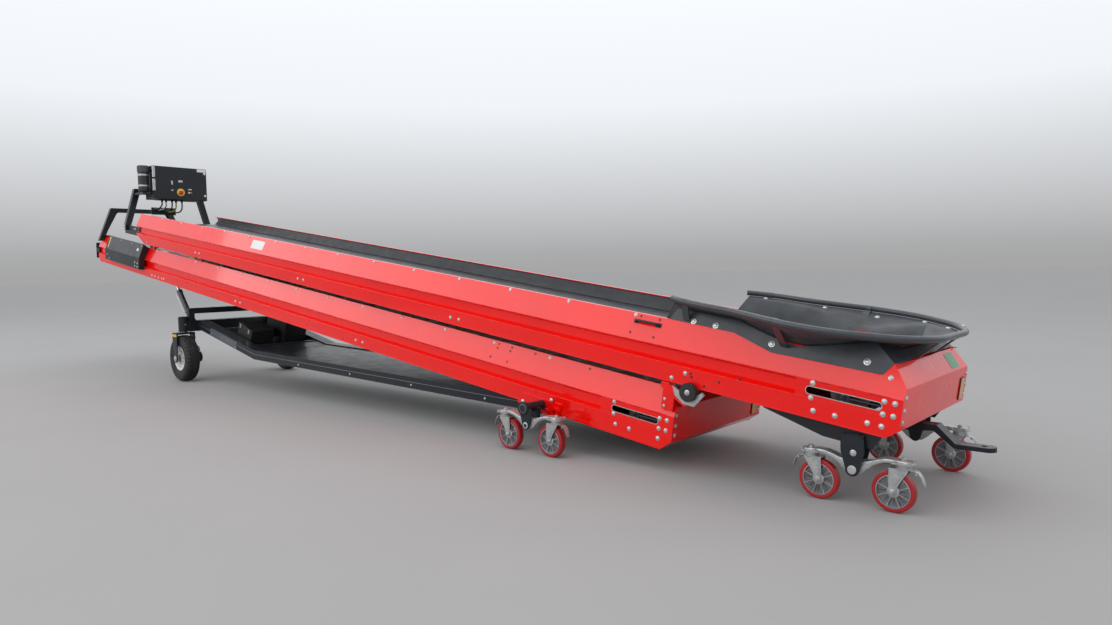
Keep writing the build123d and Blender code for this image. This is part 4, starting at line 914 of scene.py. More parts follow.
def steer_forks():
    """Forks with their kingpins, axle nuts, yellow marks and hub motors."""
    leg = [(-0.055, 0.528), (-0.054, 0.47), (-0.038, 0.262)] + arc(0, 0.25, 0.045, 195, 345, 12)
    leg += [(0.038, 0.262), (0.054, 0.47), (0.055, 0.528)]
    for side, label in BOTH:
        shape = Shape()
        base = move(WHEEL[0], side * WHEEL[1], 0)
        outwards = base @ about(side)
        shape.plate(pad(0.055, 0.099, 0.012), base @ move(0, 0, 0.51), 0.02, 0.002)
        shape.turned([(0.039, 0.529), (0.039, 0.5385), (0.036, 0.5397), (0.025, 0.5398)], base, 1, 36, False)
        shape.turned([(0.025, 0.52), (0.025, 0.697), (0.0225, 0.702)], base, 1, 32)
        shape.turned([(0.025, 0.6918), (0.044, 0.6918), (0.044, 0.699), (0.04, 0.7012), (0.025, 0.7015)], base, 0, 36,
                     False)
        for y in (-0.0995, 0.0875):
            shape.plate(leg, upright(WHEEL[0], side * WHEEL[1] + y), 0.012, 0.0018)
        face = upright(WHEEL[0], side * (WHEEL[1] + 0.0993), side)
        axle = face @ move(0, WHEEL[2], 0)
        shape.turned([(0.031, 0), (0.031, 0.003), (0.0285, 0.0038)], axle, 2, 32)
        shape.turned([(0.02, 0.0036), (0.0206, 0.0044), (0.0206, 0.0088), (0.017, 0.0102)], axle, 2, 6)
        shape.plate(rounded((-0.054, 0.054), (0.487, 0.513), 0.004), face @ move(0, 0, 0.0004), LABEL, LABEL_EDGE, 3)
        shape.brick((-0.0545, 0.0905, 0.5302), (0.0545, 0.0992, 0.5312), outwards, 0.0003, 3)
        for way in (-1, 1):
            for x in (-0.046, 0.04):
                gusset = [(0.0865, 0.509), (0.0865, 0.47), (0.08, 0.509)]
                shape.plate(gusset, base @ about(way) @ facing(x), 0.006, 0.0008)
        hub_motor(shape, side)
        for z in (0.4, 0.462):
            shape.brick((-0.03, -0.114, z), (0.03, -0.0995, z + 0.012), outwards, 0.002, 2)
        shape.make("fork_" + label, "steer_" + label, ("dark", "roller", "bolt", "yellow", "plain_black"), "frame_dark",
                   ["steer_fork_" + label])


steer_forks()


# Chassis

LIFT_FOOT = (X_FEED - 7.475, 0.485, 0.69)


def lift_fittings():
    """Glands, ports and pins of the lift cylinders."""
    for side, label in BOTH:
        foot = Vector((LIFT_FOOT[0], side * LIFT_FOOT[1], LIFT_FOOT[2]))
        place = axes(foot, slope(7.852, foot.y, -0.35) - foot, (0, side, 0))
        shape = Shape()
        shape.turned([(0.0272, 0.355), (0.031, 0.356), (0.031, 0.384), (0.029, 0.388), (0.023, 0.391), (0.015, 0.393)],
                     place, 0, 36)
        shape.turned([(0.029, 0.0415), (0.029, 0.052), (0.0272, 0.054)], place, 0, 36, False)
        for h in (0.07, 0.335):
            shape.turned([(0.011, 0), (0.011, 0.008), (0.0085, 0.0095), (0.0085, 0.014), (0.0065, 0.015)],
                         place @ move(0.0262, 0, h) @ spin(pi / 2, "Y"), 1, 12)
        line = [(0.04, 0.07), (0.047, 0.074), (0.048, 0.09), (0.048, 0.2), (0.048, 0.315), (0.047, 0.331),
                (0.04, 0.335)]
        shape.tube([place @ Vector((u, 0, w)) for u, w in line], 0.0045, 1)
        shape.make("cylinder_fittings_" + label, "lift_barrel_" + label, ("cylinder", "bolt"), "cylinder_black")
        ends = Shape()
        ends.turned([(0.0142, 0.47), (0.019, 0.471), (0.019, 0.496), (0.016, 0.499)], place, 0, 6)
        for k in (1, -1):
            ends.turned([(0.0215, 0), (0.0215, 0.002), (0.019, 0.003), (0.0125, 0.003)],
                        place @ move(k * 0.015, 0, 0.52) @ spin(k * pi / 2, "Y"))
        ends.make("cylinder_clevis_" + label, "lift_rod_" + label, ("bolt",), "rod_chrome")


lift_fittings()


def power_pack():
    """Tank with its motor, battery box and a valve block on the sloping tray."""
    low, high = Vector((X_FEED - 6.345, 0, 0.36)), Vector((X_FEED - 6.935, 0, 0.565))
    along = (low - high).normalized()
    place = axes((low + high) / 2 + Vector((0, 0, 0.0003)), along.cross(Vector((0, 1, 0))), along)
    shape = Shape()
    shape.plate(rounded((-0.198, 0.198), (0.042, 0.308), 0.024, 5), place @ move(0, 0, 0.001), 0.228, 0.006)
    shape.plate(rounded((-0.2, 0.2), (0.04, 0.31), 0.026, 5), place @ move(0, 0, 0.229), 0.01, 0.002)
    for x in (-0.18, -0.06, 0.06, 0.18):
        for y in (0.056, 0.294):
            bolt(shape, place @ move(x, y, 0.239), 0.007, 2)
    shape.turned([(0.022, 0), (0.022, 0.006), (0.03, 0.007), (0.031, 0.022), (0.027, 0.026), (0.01, 0.027)],
                 place @ move(-0.12, 0.1, 0.239), 1)
    motor = place @ move(0.06, 0.175, 0.239)
    shape.turned([(0.07, 0), (0.07, 0.012), (0.058, 0.014), (0.058, 0.062), (0.064, 0.064), (0.064, 0.078),
                  (0.056, 0.084), (0.022, 0.086)], motor, 0, 40)
    for fin in around(motor, 16):
        shape.brick((0.056, -0.002, 0.016), (0.0655, 0.002, 0.062), fin, 0.0006)
    shape.brick((0.03, -0.105, 0.02), (0.085, -0.054, 0.062), motor, 0.004, 1)
    shape.plate(rounded((-0.149, 0.149), (-0.299, -0.041), 0.016), place @ move(0, 0, 0.001), 0.122, 0.005, 1)
    shape.plate(rounded((-0.15, 0.15), (-0.3, -0.04), 0.018), place @ move(0, 0, 0.123), 0.026, 0.008, 1)
    for x in (-0.09, 0.09):
        shape.brick((x - 0.012, -0.3035, 0.1), (x + 0.012, -0.2995, 0.14), place, 0.001, 2)
    shape.brick((-0.118, -0.038, 0.004), (0.118, 0.038, 0.056), place, 0.003, 3)
    for x in (-0.092, -0.046, 0.0, 0.046, 0.092):
        shape.turned([(0.012, 0), (0.012, 0.004), (0.0175, 0.005), (0.0175, 0.028), (0.008, 0.029), (0.008, 0.034)],
                     place @ move(x, 0, 0.056), 1, 20)
        shape.turned([(0.0095, -0.001), (0.0095, 0.006)], place @ move(x, 0.038, 0.028) @ spin(-pi / 2, "X"), 2, 6)
    for x in (-0.092, -0.046, 0.046, 0.092):
        shape.tube([place @ Vector((x, y, 0.03)) for y in (-0.038, -0.052)], 0.0055, 2, 8)
    shape.make("power_pack", "chassis", ("black", "plain_black", "bolt", "aluminium"), "pack_dark", ["hydraulic_pack"])


power_pack()


BEAM_TOP = [(-2.3, 0.305), (-6.1, 0.395), (-7.33, 0.648)]
BEAM_Y = 0.46


def beam_place(part, share, side, up):
    """A place on a side beam's outer face, X towards the feed end, up from its top edge."""
    first, last = BEAM_TOP[part], BEAM_TOP[part + 1]
    x = first[0] + (last[0] - first[0]) * share
    z = first[1] + (last[1] - first[1]) * share
    way = Vector((first[0] - last[0], 0, first[1] - last[1])).normalized()
    return axes((X_FEED + x, side * BEAM_Y, z + up), (0, side, 0), way)


def beam_trim(shape, side):
    """Flange lines (the middle one lighter grey, a painted highlight of the fold's bright edge), bolts and the pale
    cover panel of a side beam.
    """
    # The middle line, 40 mm down, is painted lighter grey as a painted highlight of the bright fold; the top and bottom
    # lines are plain dark edges.
    for up in (-0.002, -0.04, -0.088):
        middle = up == -0.04
        line = [(X_FEED + x, side * BEAM_Y, z + up) for x, z in BEAM_TOP]
        shape.tube(line, 0.0026 if middle else 0.0022, 1 if middle else 0, 8)
    for share in (0.12, 0.34, 0.56, 0.78):
        bolt(shape, beam_place(0, share, side, -0.064), 0.0085, 2)
    panel = beam_place(1, 0.5, side, -0.0455)
    shape.plate(rounded((-0.335, 0.262), (-0.038, 0.036), 0.003), panel @ move(0, 0, 0.0006), 0.003, 0.0008, 1)
    if side < 0:
        edge = oblong((-0.322, 0.25), (-0.028, 0.026))
        shape.tube([panel @ Vector((u, v, 0.0036)) for u, v in edge], 0.0012, 0, 6, True)
    for u in (-0.318, 0.245):
        for v in (-0.024, 0.022):
            bolt(shape, panel @ move(u, v, 0.0034), 0.0055, 2)


def chassis_trim():
    """Beam trims, axle edges, kingpin sleeves, pins and the pipes with their clips."""
    shape = Shape()
    for side in (-1, 1):
        beam_trim(shape, side)
    for x in (-0.0595, 0.0595):
        for z in (0.5405, 0.6495):
            shape.tube([(WHEEL[0] + x, y, z) for y in (-0.553, 0.553)], 0.0022, 0, 8)
    for y in (-0.3, 0.3):
        for x in (0.02, 0.05):
            bolt(shape, move(WHEEL[0] + x, y, 0.79), 0.01, 2)
    for y in (-0.12, 0.12):
        shape.turned([(0.026, 0), (0.026, 0.003), (0.018, 0.003), (0.018, 0)],
                     move(WHEEL[0] + 0.035, y, 0.7895), 2, 24, False)
    for side in (-1, 1):
        sleeve = move(WHEEL[0], side * WHEEL[1], 0)
        shape.turned([(0.05, 0.678), (0.053, 0.679), (0.053, 0.6885), (0.0505, 0.6898)], sleeve, 0, 36, False)
        shape.turned([(0.05, 0.54), (0.053, 0.541), (0.053, 0.55), (0.05, 0.551)], sleeve, 0, 36, False)
        shape.turned([(0.0048, 0), (0.0048, 0.005), (0.0032, 0.006), (0.0036, 0.01), (0.002, 0.012)],
                     sleeve @ move(0.049, 0, 0.615) @ spin(pi / 2, "Y"), 2, 10)
        for y, out in ((0.0255, 1), (-0.0258, -1)):
            pin = move(LIFT_FOOT[0], side * (LIFT_FOOT[1] + y), LIFT_FOOT[2]) @ spin(-side * out * pi / 2, "X")
            shape.turned([(0.0175, 0), (0.0175, 0.0035), (0.015, 0.005), (0.006, 0.0052)], pin, 2)
        shape.turned([(0.03, -0.005), (0.03, 0.001), (0.027, 0.0018), (0.008, 0.0018)],
                     move(X_FEED - 2.14, side * 0.708, 0.285) @ spin(-side * pi / 2, "X"), 2, 28)
        for y in (0.33, 0.314):
            shape.tube([(X_FEED - 6.9, side * y, 0.47), (X_FEED - 6.4, side * y, 0.315), (X_FEED - 6.1, side * y, 0.3),
                        (X_FEED - 2.7, side * y, 0.222)], 0.005, 3, 8)
        for i in range(9):
            share = (i + 0.5) / 9
            clip = move(X_FEED - 6.1 + 3.4 * share, side * 0.322, 0.3 - 0.078 * share)
            shape.brick((-0.01, -0.018, -0.008), (0.01, 0.018, 0.008), clip, 0.002, 3)
    shape.make("chassis_trim", "chassis", ("dark", "grey", "bolt", "plain_black"), "frame_dark")


chassis_trim()


# Head end

CAB_FRONT = X_FEED - 8.7495    # outer face of the cabinet's door
DOOR_FACE = facing(CAB_FRONT)
CAB_EDGES = (2.0925, 2.4872)
ARCH_X, ARCH_EDGE = X_FEED - 9.15, 0.0298

# Rows of devices in the cabinet: (z, first y, width, depth, count, half height, slot, slot of the lever or 0)
DEVICES = [(2.375, -0.255, 0.045, 0.088, 5, 0.026, 4, 1), (2.375, 0.02, 0.018, 0.07, 12, 0.026, 3, 1),
           (2.29, -0.255, 0.036, 0.076, 8, 0.026, 4, 5), (2.29, 0.08, 0.072, 0.1, 2, 0.026, 1, 0),
           (2.205, -0.255, 0.0085, 0.05, 52, 0.021, 5, 0)]


def door():
    """Cabinet door with hinges, locks, a main switch, two buttons and blank labels."""
    shape = Shape()
    shape.plate(rounded((-0.325, 0.325), (2.09, 2.49), 0.005), DOOR_FACE @ move(0, 0, -0.025), 0.025, 0.003)
    for low, high in ((2.186, 2.331), (2.347, 2.486)):
        profile = [(0.004, low), (0.0085, low + 0.002)]
        for i in range(1, 4):
            z = low + (high - low) * i / 4
            profile += [(0.0085, z - 0.0008), (0.0076, z - 0.0006), (0.0076, z + 0.0006), (0.0085, z + 0.0008)]
        profile += [(0.0085, high - 0.002), (0.004, high)]
        shape.turned(profile, move(CAB_FRONT, -0.325, 0), 1, 20)
        shape.plate(rounded((-0.325, -0.299), (low + 0.004, high - 0.004), 0.002), DOOR_FACE, 0.0018, 0.0005, 1)
    for z in (2.15, 2.43):
        lock = DOOR_FACE @ move(0.3, z, 0)
        shape.turned([(0.015, 0), (0.015, 0.003), (0.013, 0.0045), (0.0085, 0.0045), (0.008, 0.002)], lock, 2)
        shape.brick((-0.0065, -0.0018, 0.002), (0.0065, 0.0018, 0.0048), lock @ spin(0.7, "Z"), 0.0005, 1)
    switch = DOOR_FACE @ move(0, 2.18, 0)
    shape.turned([(0.047, 0), (0.047, 0.002), (0.0455, 0.0032), (0.03, 0.0034), (0.027, 0.006)], switch, 3, 48)
    shape.turned([(0.0255, 0.004), (0.0258, 0.012), (0.0225, 0.015), (0.0215, 0.026), (0.019, 0.028)], switch, 4, 40)
    shape.brick((-0.024, -0.0075, 0.014), (0.024, 0.0075, 0.0335), switch @ spin(0.45, "Z"), 0.003, 4)
    for rib in around(switch, 12):
        shape.brick((0.0238, -0.0016, 0.005), (0.0262, 0.0016, 0.0125), rib, 0.0006, 4)
    for y, slot in ((0.098, 5), (0.126, 4)):
        button = DOOR_FACE @ move(y, 2.18, 0)
        shape.turned([(0.0125, 0), (0.013, 0.003), (0.0118, 0.0048), (0.01, 0.005)], button, 1, 28)
        shape.turned([(0.0098, 0.003), (0.0098, 0.012), (0.0085, 0.0138), (0.004, 0.0145)], button, slot, 28)
    for y, z, a, b in ((0.0, 2.318, 0.026, 0.013), (-0.102, 2.296, 0.01, 0.024), (-0.102, 2.203, 0.012, 0.008),
                       (0.112, 2.222, 0.022, 0.007)):
        shape.plate(rounded((y - a, y + a), (z - b, z + b), 0.002), DOOR_FACE, 0.0008, 0.0002, 1)
    shape.plate(rounded((0.207, 0.318), (2.449, 2.484), 0.004), DOOR_FACE, LABEL, LABEL_EDGE, 5)
    shape.make("door_leaf", "cabinet_door", ("dark", "aluminium", "chrome", "yellow", "knob_red", "white"),
               "frame_dark", ["cabinet_door"])


door()


def conduits(shape, front):
    """Glands under the cabinet and the corrugated conduits that run back to the arch."""
    for i, y in enumerate((-0.19, -0.13, -0.07, -0.01, 0.05)):
        gland = move(front - 0.08 - 0.03 * (i % 2), y, 2.0857) @ spin(pi, "X")
        shape.turned([(0.015, 0), (0.015, 0.007), (0.013, 0.008), (0.0125, 0.02), (0.0105, 0.024)], gland, 1, 12)
        start = gland @ Vector((0, 0, 0.02))
        drop = 0.052 + 0.01 * i
        steps = ((0, 0, drop * 0.6), (0.01, 0.004, drop), (0.045, 0.01, drop + 0.022), (0.09, 0.012, drop + 0.028))
        route = [start] + [start - Vector(step) for step in steps]
        route.append(Vector((X_FEED - 9.118, start.y - 0.012, start.z - drop - 0.029)))
        fine = smooth(route, 26)
        shape.tube(fine, [0.0088 if k % 2 else 0.008 for k in range(len(fine))], (1, 2, 1, 6, 1)[i])


def equipment(shape, back):
    """Mounting plate, rails, wiring ducts and rows of devices behind the cabinet's door."""
    shape.brick((back + 0.01, -0.29, 2.12), (back + 0.013, 0.29, 2.465), Matrix(), 0.001, 2)
    for z in (2.205, 2.29, 2.375):
        shape.brick((back + 0.013, -0.27, z - 0.0175), (back + 0.021, 0.27, z + 0.0175), Matrix(), 0.001, 2)
    for z in (2.145, 2.248, 2.332, 2.44):
        shape.brick((back + 0.013, -0.27, z - 0.014), (back + 0.058, 0.27, z + 0.014), Matrix(), 0.002, 3)
    for z, start, width, depth, count, tall, slot, lever in DEVICES:
        rail, front = back + 0.021, back + 0.021 + depth
        for i in range(count):
            y = start + i * width
            shape.brick((rail, y + 0.0006, z - tall), (front, y + width - 0.0006, z + tall), Matrix(), 0.0012, slot)
            if lever:
                low, high = y + width * 0.3, y + width * 0.7
                shape.brick((front, low, z - 0.01), (front + 0.006, high, z + 0.01), Matrix(), 0.001, lever)


def cabinet_fittings():
    """Edges and gland plate of the cabinet, its conduits, and the equipment behind its door."""
    shape = Shape()
    back, front = X_FEED - 8.99, X_FEED - 8.775
    rear = back + 0.0015
    for y in (-0.3235, 0.3235):
        for z in CAB_EDGES:
            shape.tube([(back + 0.001, y, z), (front - 0.001, y, z)], EDGE_R, 0, 8)
        shape.tube([(rear, y, 2.091), (rear, y, 2.489)], EDGE_R, 0, 8)
    for z in CAB_EDGES:
        shape.tube([(rear, y, z) for y in (-0.323, 0.323)], EDGE_R, 0, 8)
    shape.brick((back + 0.03, -0.23, 2.0855), (front - 0.03, 0.23, 2.0902), Matrix(), 0.001, 1)
    conduits(shape, front)
    shape.brick((X_FEED - 9.1255, -0.22, 1.92), (X_FEED - 9.1135, 0.075, 2.01), Matrix(), 0.002, 1)
    equipment(shape, back)
    looks = ("dark", "plain_black", "zinc", "grey", "black", "white", "cable_green")
    shape.make("cabinet_equipment", "upper_conveyor", looks, "frame_dark")


def smooth(points, count):
    """Points on a smooth curve through a list of places."""
    ends = [points[0] * 2 - points[1]] + list(points) + [points[-1] * 2 - points[-2]]
    fine = []
    spans = len(points) - 1
    for i in range(count + 1):
        u = min(i * spans / count, spans - 1e-6)
        k = int(u)
        t = u - k
        a, b, c, d = ends[k:k + 4]
        curve = (a * 2 - b * 5 + c * 4 - d) * t ** 2 + (b * 3 - a - c * 3 + d) * t ** 3
        fine.append((b * 2 + (c - a) * t + curve) * 0.5)
    return fine


cabinet_fittings()


def document_holder():
    """Document tube with its ribbed cap and two straps."""
    tube = Shape()
    place = move(X_FEED - 8.86, -0.394, 0)
    tube.turned([(0.048, 2.1755), (0.06, 2.176), (0.0618, 2.179), (0.0618, 2.206), (0.06, 2.2075), (0.06, 2.408),
                 (0.0618, 2.4095)], place, 0, 56)
    tube.turned([(0.0622, 2.4102), (0.0648, 2.4115), (0.0648, 2.483), (0.06, 2.4885), (0.03, 2.4895)], place, 1, 56)
    for rib in around(place, 36):
        tube.brick((0.064, -0.0022, 2.416), (0.0658, 0.0022, 2.478), rib, 0.0006, 1)
    for z in (2.245, 2.375):
        strap = [(0.0601, z - 0.01), (0.0612, z - 0.01), (0.0612, z + 0.01), (0.0601, z + 0.01)]
        tube.turned(strap, place, 2, 48, False)
    tube.make("document_holder", "upper_conveyor", ("tube", "grey_plastic", "zinc"), "tube_black", ["document_tube"])


def arch_fittings():
    """Shoes, bolts and edge lines of the control arch."""
    shape = Shape()
    for side in (-1, 1):
        shoe = on_web(9.257, 0.144, 0, side, -0.0178)
        shape.plate(oblong((-0.03, 0.03), (-0.031, 0.031)), shoe, 0.0278, 0.002)
        for v in (-0.016, 0.016):
            bolt(shape, shoe @ move(0, v, 0.0278), 0.014, 1)
        for u in (-0.27, -0.235):
            bolt(shape, shoe @ move(u, 0, 0), 0.011, 1)
        for way in (-ARCH_EDGE, ARCH_EDGE):
            for out, top in ((-ARCH_EDGE, 2.17), (ARCH_EDGE, 2.228)):
                shape.tube([(ARCH_X + way, side * (0.5 + out), 1.759), (ARCH_X + way, side * (0.38 + out * 0.93), top)],
                           EDGE_R, 0, 8)
    for way in (-ARCH_EDGE, ARCH_EDGE):
        for z, half in ((2.2298, 0.409), (2.1702, 0.351)):
            shape.tube([(ARCH_X + way, y, z) for y in (-half, half)], EDGE_R, 0, 8)
    for y in (-0.237, -0.213, 0.213, 0.237):
        nut(shape, move(X_FEED - 8.975, y, 2.2025) @ spin(pi / 2, "Y"), 0.006, 1, 0.004)
    shape.make("arch_fittings", "upper_conveyor", ("dark", "bolt"), "frame_dark")


def cover_fittings():
    """Bolts, folded edges and blank plates of the head covers, and the guard hoop's bolts."""
    shape = Shape()
    edge = [(0.5235, 0.077), (0.5785, 0.077), (0.5785, 0.212), (0.529, 0.3735)]
    for side in (-1, 1):
        for s in (10.08, 10.15):
            bolt(shape, axes(slope(s, side * 0.455, -0.032), UP, ALONG), 0.01, 1)
        for s, n in ((8.715, 0.098), (8.792, 0.101), (8.712, 0.14), (8.79, 0.144), (9.64, 0.098), (9.71, 0.14)):
            bolt(shape, on_web(s, n, LOWER, side, 0.06), 0.011, 1)
        for s in (8.7, 9.0, 9.36, 9.72):
            bolt(shape, cover_place(s, 0.352, side), 0.008, 1)
        for y, n in ((0.578, 0.0772), (0.578, 0.2112), (0.528, 0.3742)):
            shape.tube(uphill(8.66, 9.76, side * y, n + LOWER), 0.0028, 0, 8)
        for s in (8.6605, 9.7595):
            shape.tube([slope(s, side * y, n + LOWER) for y, n in edge], 0.0045, 2, 8)
        shape.plate(pad(0.026, 0.016, 0.003), cover_place(8.775, 0.3, side), LABEL, LABEL_EDGE, 3)
        shape.plate(rounded((-0.012, 0.012), (-0.072, 0.062), 0.003), cover_place(9.7, 0.292, side), LABEL,
                    LABEL_EDGE, 4)
    shape.make("cover_fittings", "lower_conveyor", ("dark", "bolt", "plain_black", "white", "yellow"), "frame_dark")


def cover_place(s, n, side):
    """A place on a head cover's slanted face."""
    y = 0.58 - (n - 0.212) * 0.05 / 0.163
    normal = Vector((0, side * 0.956, 0)) + UP * 0.293
    return axes(slope(s, side * y, n + LOWER) + normal * 0.0002, normal, ALONG)


document_holder()
arch_fittings()
cover_fittings()


def lamps():
    """Lamp boards with three-part lenses, on arms behind the lower conveyor's head."""
    face = -5.2545
    middle = Z_FEED + (X_FEED - face) * tan(ALPHA) - 0.253 / CA
    low, high = slope(10.2003, 0, -0.27), slope(10.2003, 0, -0.208)
    arm = [(face + 0.007, low.z), (low.x, low.z), (high.x, high.z), (face + 0.007, high.z)]
    for side, label in BOTH:
        shape = Shape()
        place = Matrix(((0, 0, -1, face + 0.008), (-side, 0, 0, side * 0.45), (0, side, 0, middle), (0, 0, 0, 1)))
        shape.plate(pad(0.07, 0.1, 0.01), place, 0.008, 0.0015)
        shape.plate(pad(0.05, 0.08, 0.01), place @ move(0, 0, 0.008), 0.022, 0.003, 1)
        for start, end, slot in ((-0.077, -0.028, 4), (-0.026, 0.026, 2), (0.028, 0.077, 3)):
            shape.plate(rounded((-0.047, 0.047), (start, end), 0.006), place @ move(0, 0, 0.028), 0.047, 0.007, slot)
        for v in (-0.092, 0.092):
            bolt(shape, place @ move(0, v, 0.008), 0.006, 5)
        shape.plate(arm, upright(0, 0.47 if side > 0 else -0.515), 0.045, 0.002)
        looks = ("dark", "plain_black", "lamp_red", "lamp_amber", "lamp_clear", "bolt")
        shape.make("lamp_unit_" + label, "lower_conveyor", looks, "lamp_red", ["tail_lights"])


lamps()


GUIDE = (1.04, -0.025)    # (s, n) of the guide discs


def guides():
    """Bolts and stays of the guide discs, and the fittings between the conveyors."""
    shape = Shape()
    stay = [(0.065, 0.03), (0.02, 0.015), (-0.05, -0.046), (-0.032, -0.057), (0.065, -0.015)]
    for side in (-1, 1):
        hub = axes(slope(GUIDE[0], side * 0.557, GUIDE[1]), (0, side, 0), ALONG)
        shape.turned([(0.0485, 0.0), (0.0485, 0.001), (0.044, 0.0014), (0.025, 0.001)], hub, 1, 48)
        nut(shape, hub @ move(0, 0, 0.001), 0.0115)
        for s, n in ((1.15, -0.043), (1.195, -0.1), (1.195, -0.14)):
            bolt(shape, axes(slope(s, side * 0.531, n), (0, side, 0), ALONG), 0.0095)
        place = axes(slope(1.1, side * 0.5206, -0.06), (0, side, 0), ALONG)
        shape.plate([(u, v * side) for u, v in stay], place, 0.006, 0.001, 4)
        shape.plate(pad(0.0275, 0.034, 0.004), axes(slope(1.2075, side * 0.49, -0.042), UP, ALONG), 0.036, 0.002, 4)
        block = axes(slope(7.485, side * 0.452, LOWER + 0.3395), UP, ALONG)
        shape.plate(pad(0.07, 0.014, 0.003), block, 0.028, 0.003, 2)
        shape.turned([(0.016, 0), (0.016, 0.008), (0.013, 0.01), (0.013, 0.024), (0.009, 0.029), (0.003, 0.03)],
                     axes(slope(7.25, side * 0.46, LOWER + 0.3385), UP, ALONG), 3, 20)
    shape.make("guide_fittings", "lower_conveyor", ("bolt", "plain_black", "timber", "knob_red", "red"), "galvanised")


guides()


def paint_guides():
    """Black discs and red brackets on the guide rollers."""
    middle = slope(GUIDE[0], 0, GUIDE[1])
    web = slope(1.14, 0, 0)
    finish("guide_rollers", "plain_black",
           lambda p: hypot(p.x - middle.x, p.z - middle.z) < 0.054 and abs(p.y) > 0.5285)
    finish("guide_rollers", "red", lambda p: p.x < web.x + 0.004)


paint_guides()


# Hopper

RAIL_LINE = [(1.268, 0.44), (1.13, 0.515), (0.86, 0.535), (0.5, 0.65), (0.27, 0.65), (0.03, 0.48), (-0.09, 0.25)]
RAIL_BEND, RAIL_N, RAIL_R = 0.4, 0.455, 0.0178
FOOT_N = 0.288    # where the apron ends in the trough

# Apron from its rear end to the front: rail (s, y), with None where the rail's line gives it,
# then a place over the collar (s, y, n) and the foot (s, y)
APRON = [((1.256, None), (1.262, 0.42, 0.42), (1.345, 0.402)), ((1.13, None), (1.135, 0.42, 0.42), (1.16, 0.402)),
         ((0.99, None), (0.99, 0.42, 0.419), (1.0, 0.402)), ((0.86, None), (0.86, 0.42, 0.416), (0.86, 0.402)),
         ((0.735, None), (0.735, 0.434, 0.388), (0.735, 0.402)), ((0.604, None), (0.604, 0.446, 0.36), (0.604, 0.402)),
         ((0.489, None), (0.489, 0.45, 0.347), (0.489, 0.402)), ((0.368, None), (0.368, 0.44, 0.372), (0.368, 0.401)),
         ((0.25, None), (0.255, 0.424, 0.405), (0.275, 0.396)), ((0.14, None), (0.175, 0.408, 0.43), (0.21, 0.378)),
         ((None, 0.475), (0.148, 0.38, 0.433), (0.18, 0.345)), ((None, 0.37), (0.13, 0.305, 0.422), (0.168, 0.28)),
         ((None, 0.24), (0.098, 0.2, 0.396), (0.165, 0.18)), ((None, 0.11), (0.094, 0.1, 0.392), (0.165, 0.09)),
         ((None, 0.0), (0.094, 0.0, 0.392), (0.165, 0.0))]


def fillet(points, r, steps=8):
    """Polyline in (s, y) with its corners rounded."""
    line = [Vector(points[0])]
    for before, here, after in zip(points, points[1:], points[2:]):
        corner = Vector(here)
        first = (corner - Vector(before)).normalized()
        last = (Vector(after) - corner).normalized()
        half = first.angle(last) / 2
        start = corner - first * r * tan(half)
        end = corner + last * r * tan(half)
        for i in range(steps + 1):
            t = i / steps
            line.append(start * (1 - t) ** 2 + corner * 2 * t * (1 - t) + end * t ** 2)
    line.append(Vector(points[-1]))
    return line


def rail_at(line, s=None, y=None):
    """The rail's (s, y) where one of them is given."""
    axis, value = (0, s) if s is not None else (1, y)
    spans = list(zip(line, line[1:]))
    for a, b in spans if axis == 0 else spans[::-1]:
        low, high = sorted((a[axis], b[axis]))
        if low <= value <= high and high > low:
            return a.lerp(b, (value - a[axis]) / (b[axis] - a[axis]))
    return line[-1] if value < min(p[axis] for p in line) else line[0]


APRON_STEPS = 140    # along the apron, with 12 steps from rail to foot


def apron_grid():
    """Rows of points round the hopper, each from under the rail down to the foot."""
    line = fillet(RAIL_LINE + [(-0.09, -0.25)], RAIL_BEND)
    half = []
    for (s, y), collar, foot in APRON:
        rail = rail_at(line, s, y)
        way = Vector((0.4 - rail[0], -rail[1])) if y is not None else Vector((0, -1))
        rail = rail + way.normalized() * 0.008
        top = Vector((rail[0], rail[1], RAIL_N - RAIL_R))
        over = Vector(collar)
        low = Vector((foot[0], foot[1], FOOT_N))
        middle = top.lerp(over, 0.5) + Vector((0, 0, 0.02 * (top - over).length))
        half.append((top, middle, over, low))
    whole = [[Vector((p[0], -p[1], p[2])) for p in row] for row in half] + half[-2::-1]
    columns = [smooth([row[k] for row in whole], APRON_STEPS) for k in range(4)]
    rows = []
    for i in range(APRON_STEPS + 1):
        fine = smooth([columns[k][i] for k in range(4)], 12)
        row = []
        for k, p in enumerate(fine):
            lift = noise.noise(Vector((p[0] * 4.5, p[1] * 4.5, 2.0))) * 0.0055 * sin(pi * k / 12)
            row.append(slope(p[0], p[1], p[2] + lift))
        rows.append(row)
    return rows


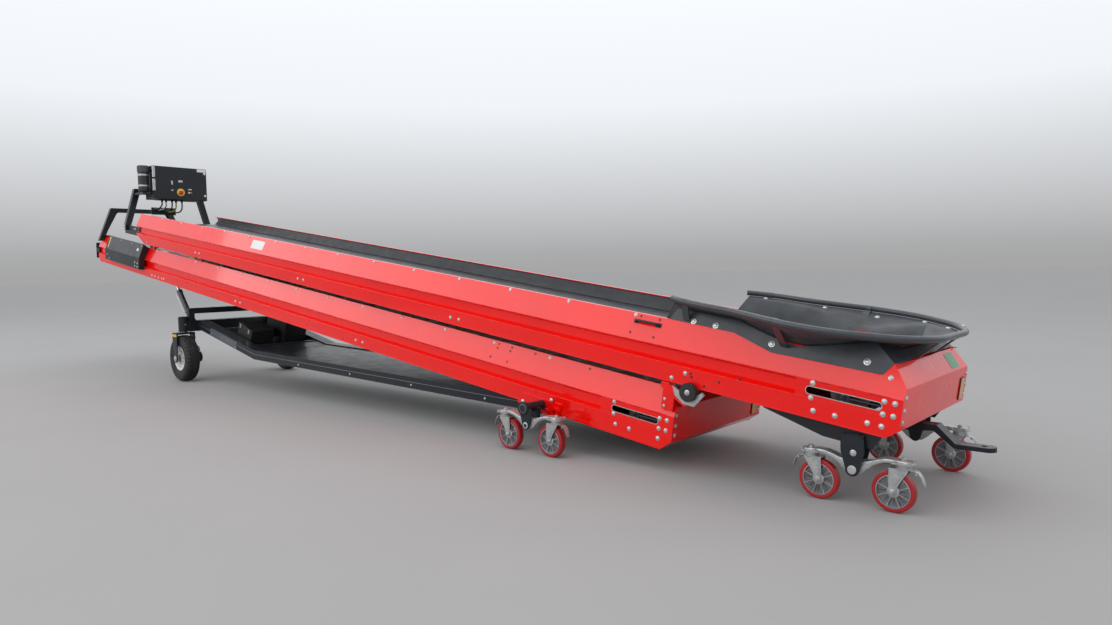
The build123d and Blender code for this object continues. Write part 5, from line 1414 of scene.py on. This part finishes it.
def apron():
    """Rubber apron that runs from the rail into the trough on three sides, with its bolts."""
    rows = apron_grid()
    last = len(rows) - 1
    foot = len(rows[0]) - 1
    shape = Shape()
    skins = []
    for i, row in enumerate(rows):
        before, after = rows[max(i - 1, 0)], rows[min(i + 1, last)]
        under = []
        for k, p in enumerate(row):
            down = row[min(k + 1, foot)] - row[max(k - 1, 0)]
            under.append(p - upward((after[k] - before[k]).cross(down)) * 0.005)
        skins.append(row + under[::-1])
    shape.skin(skins)
    for share in (0.03, 0.125, 0.215, 0.3, 0.37, 0.425, 0.575, 0.63, 0.7, 0.785, 0.875, 0.97):
        i = round(share * last)
        along = rows[min(i + 1, last)][2] - rows[max(i - 1, 0)][2]
        normal = upward(along.cross(rows[i][3] - rows[i][1]))
        shape.turned([(0.015, -0.001), (0.015, 0.0018), (0.013, 0.003), (0.0085, 0.0062), (0.003, 0.0072)],
                     axes(rows[i][2], normal, along), 1, 20)
    shape.make("apron", "upper_conveyor", ("flap", "bolt"), "flap_rubber", ["hopper_flap"], 50)


apron()


def hopper_fittings():
    """Bolts of the collar, plugs and ties of the rail, and the dark slits along the folds."""
    shape = Shape()
    for side in (-1, 1):
        for s, n in ((1.108, 0.35), (0.97, 0.35), (0.63, 0.315), (0.146, 0.322)):
            place = on_panel(s, n, 0, side, 0.0031)
            shape.turned([(0.0175, 0), (0.0175, 0.0016), (0.0165, 0.0022), (0.012, 0.0024)], place, 0, 20)
            shape.turned([(0.0118, 0.002), (0.0115, 0.0052), (0.0085, 0.0078), (0.003, 0.0088)], place, 0, 20)
        first, second = [slope(s, side * y, RAIL_N) for s, y in fillet(RAIL_LINE, RAIL_BEND)[:2]]
        shape.turned([(0.0155, -0.01), (0.0172, 0.0), (0.0172, 0.004), (0.014, 0.0075), (0.005, 0.009)],
                     axes(first, first - second, UP), 1)
        for s, y in ((1.15, 0.503), (0.56, 0.628)):
            shape.turned([(0.0171, -0.02), (0.0186, -0.019), (0.0186, 0.019), (0.0171, 0.02)],
                         axes(slope(s, side * y, RAIL_N), ALONG, UP), 1, 28, False)
        for s, half in ((0.327, 0.037), (0.205, 0.037), (0.06, 0.04)):
            for shift, base in ((0, 0), (1.196, LOWER)):
                shape.plate(oblong((-half, half), (-0.0012, 0.0012)), on_web(s + shift, 0.1868, base, side, 0.0001),
                            0.0007, 0.0002, 2)
    tie = axes(slope(-0.034, 0.372, RAIL_N), slope(-0.09, 0.25, 0) - slope(0.03, 0.48, 0), UP)
    shape.turned([(0.0172, -0.011), (0.019, -0.01), (0.019, 0.01), (0.0172, 0.011)], tie, 3, 28, False)
    shape.brick((-0.058, 0.015, -0.01), (-0.006, 0.0185, 0.01), tie, 0.001, 3)
    shape.make("hopper_fittings", "upper_conveyor", ("bolt", "rail", "plain_black", "white"), "frame_dark")


hopper_fittings()
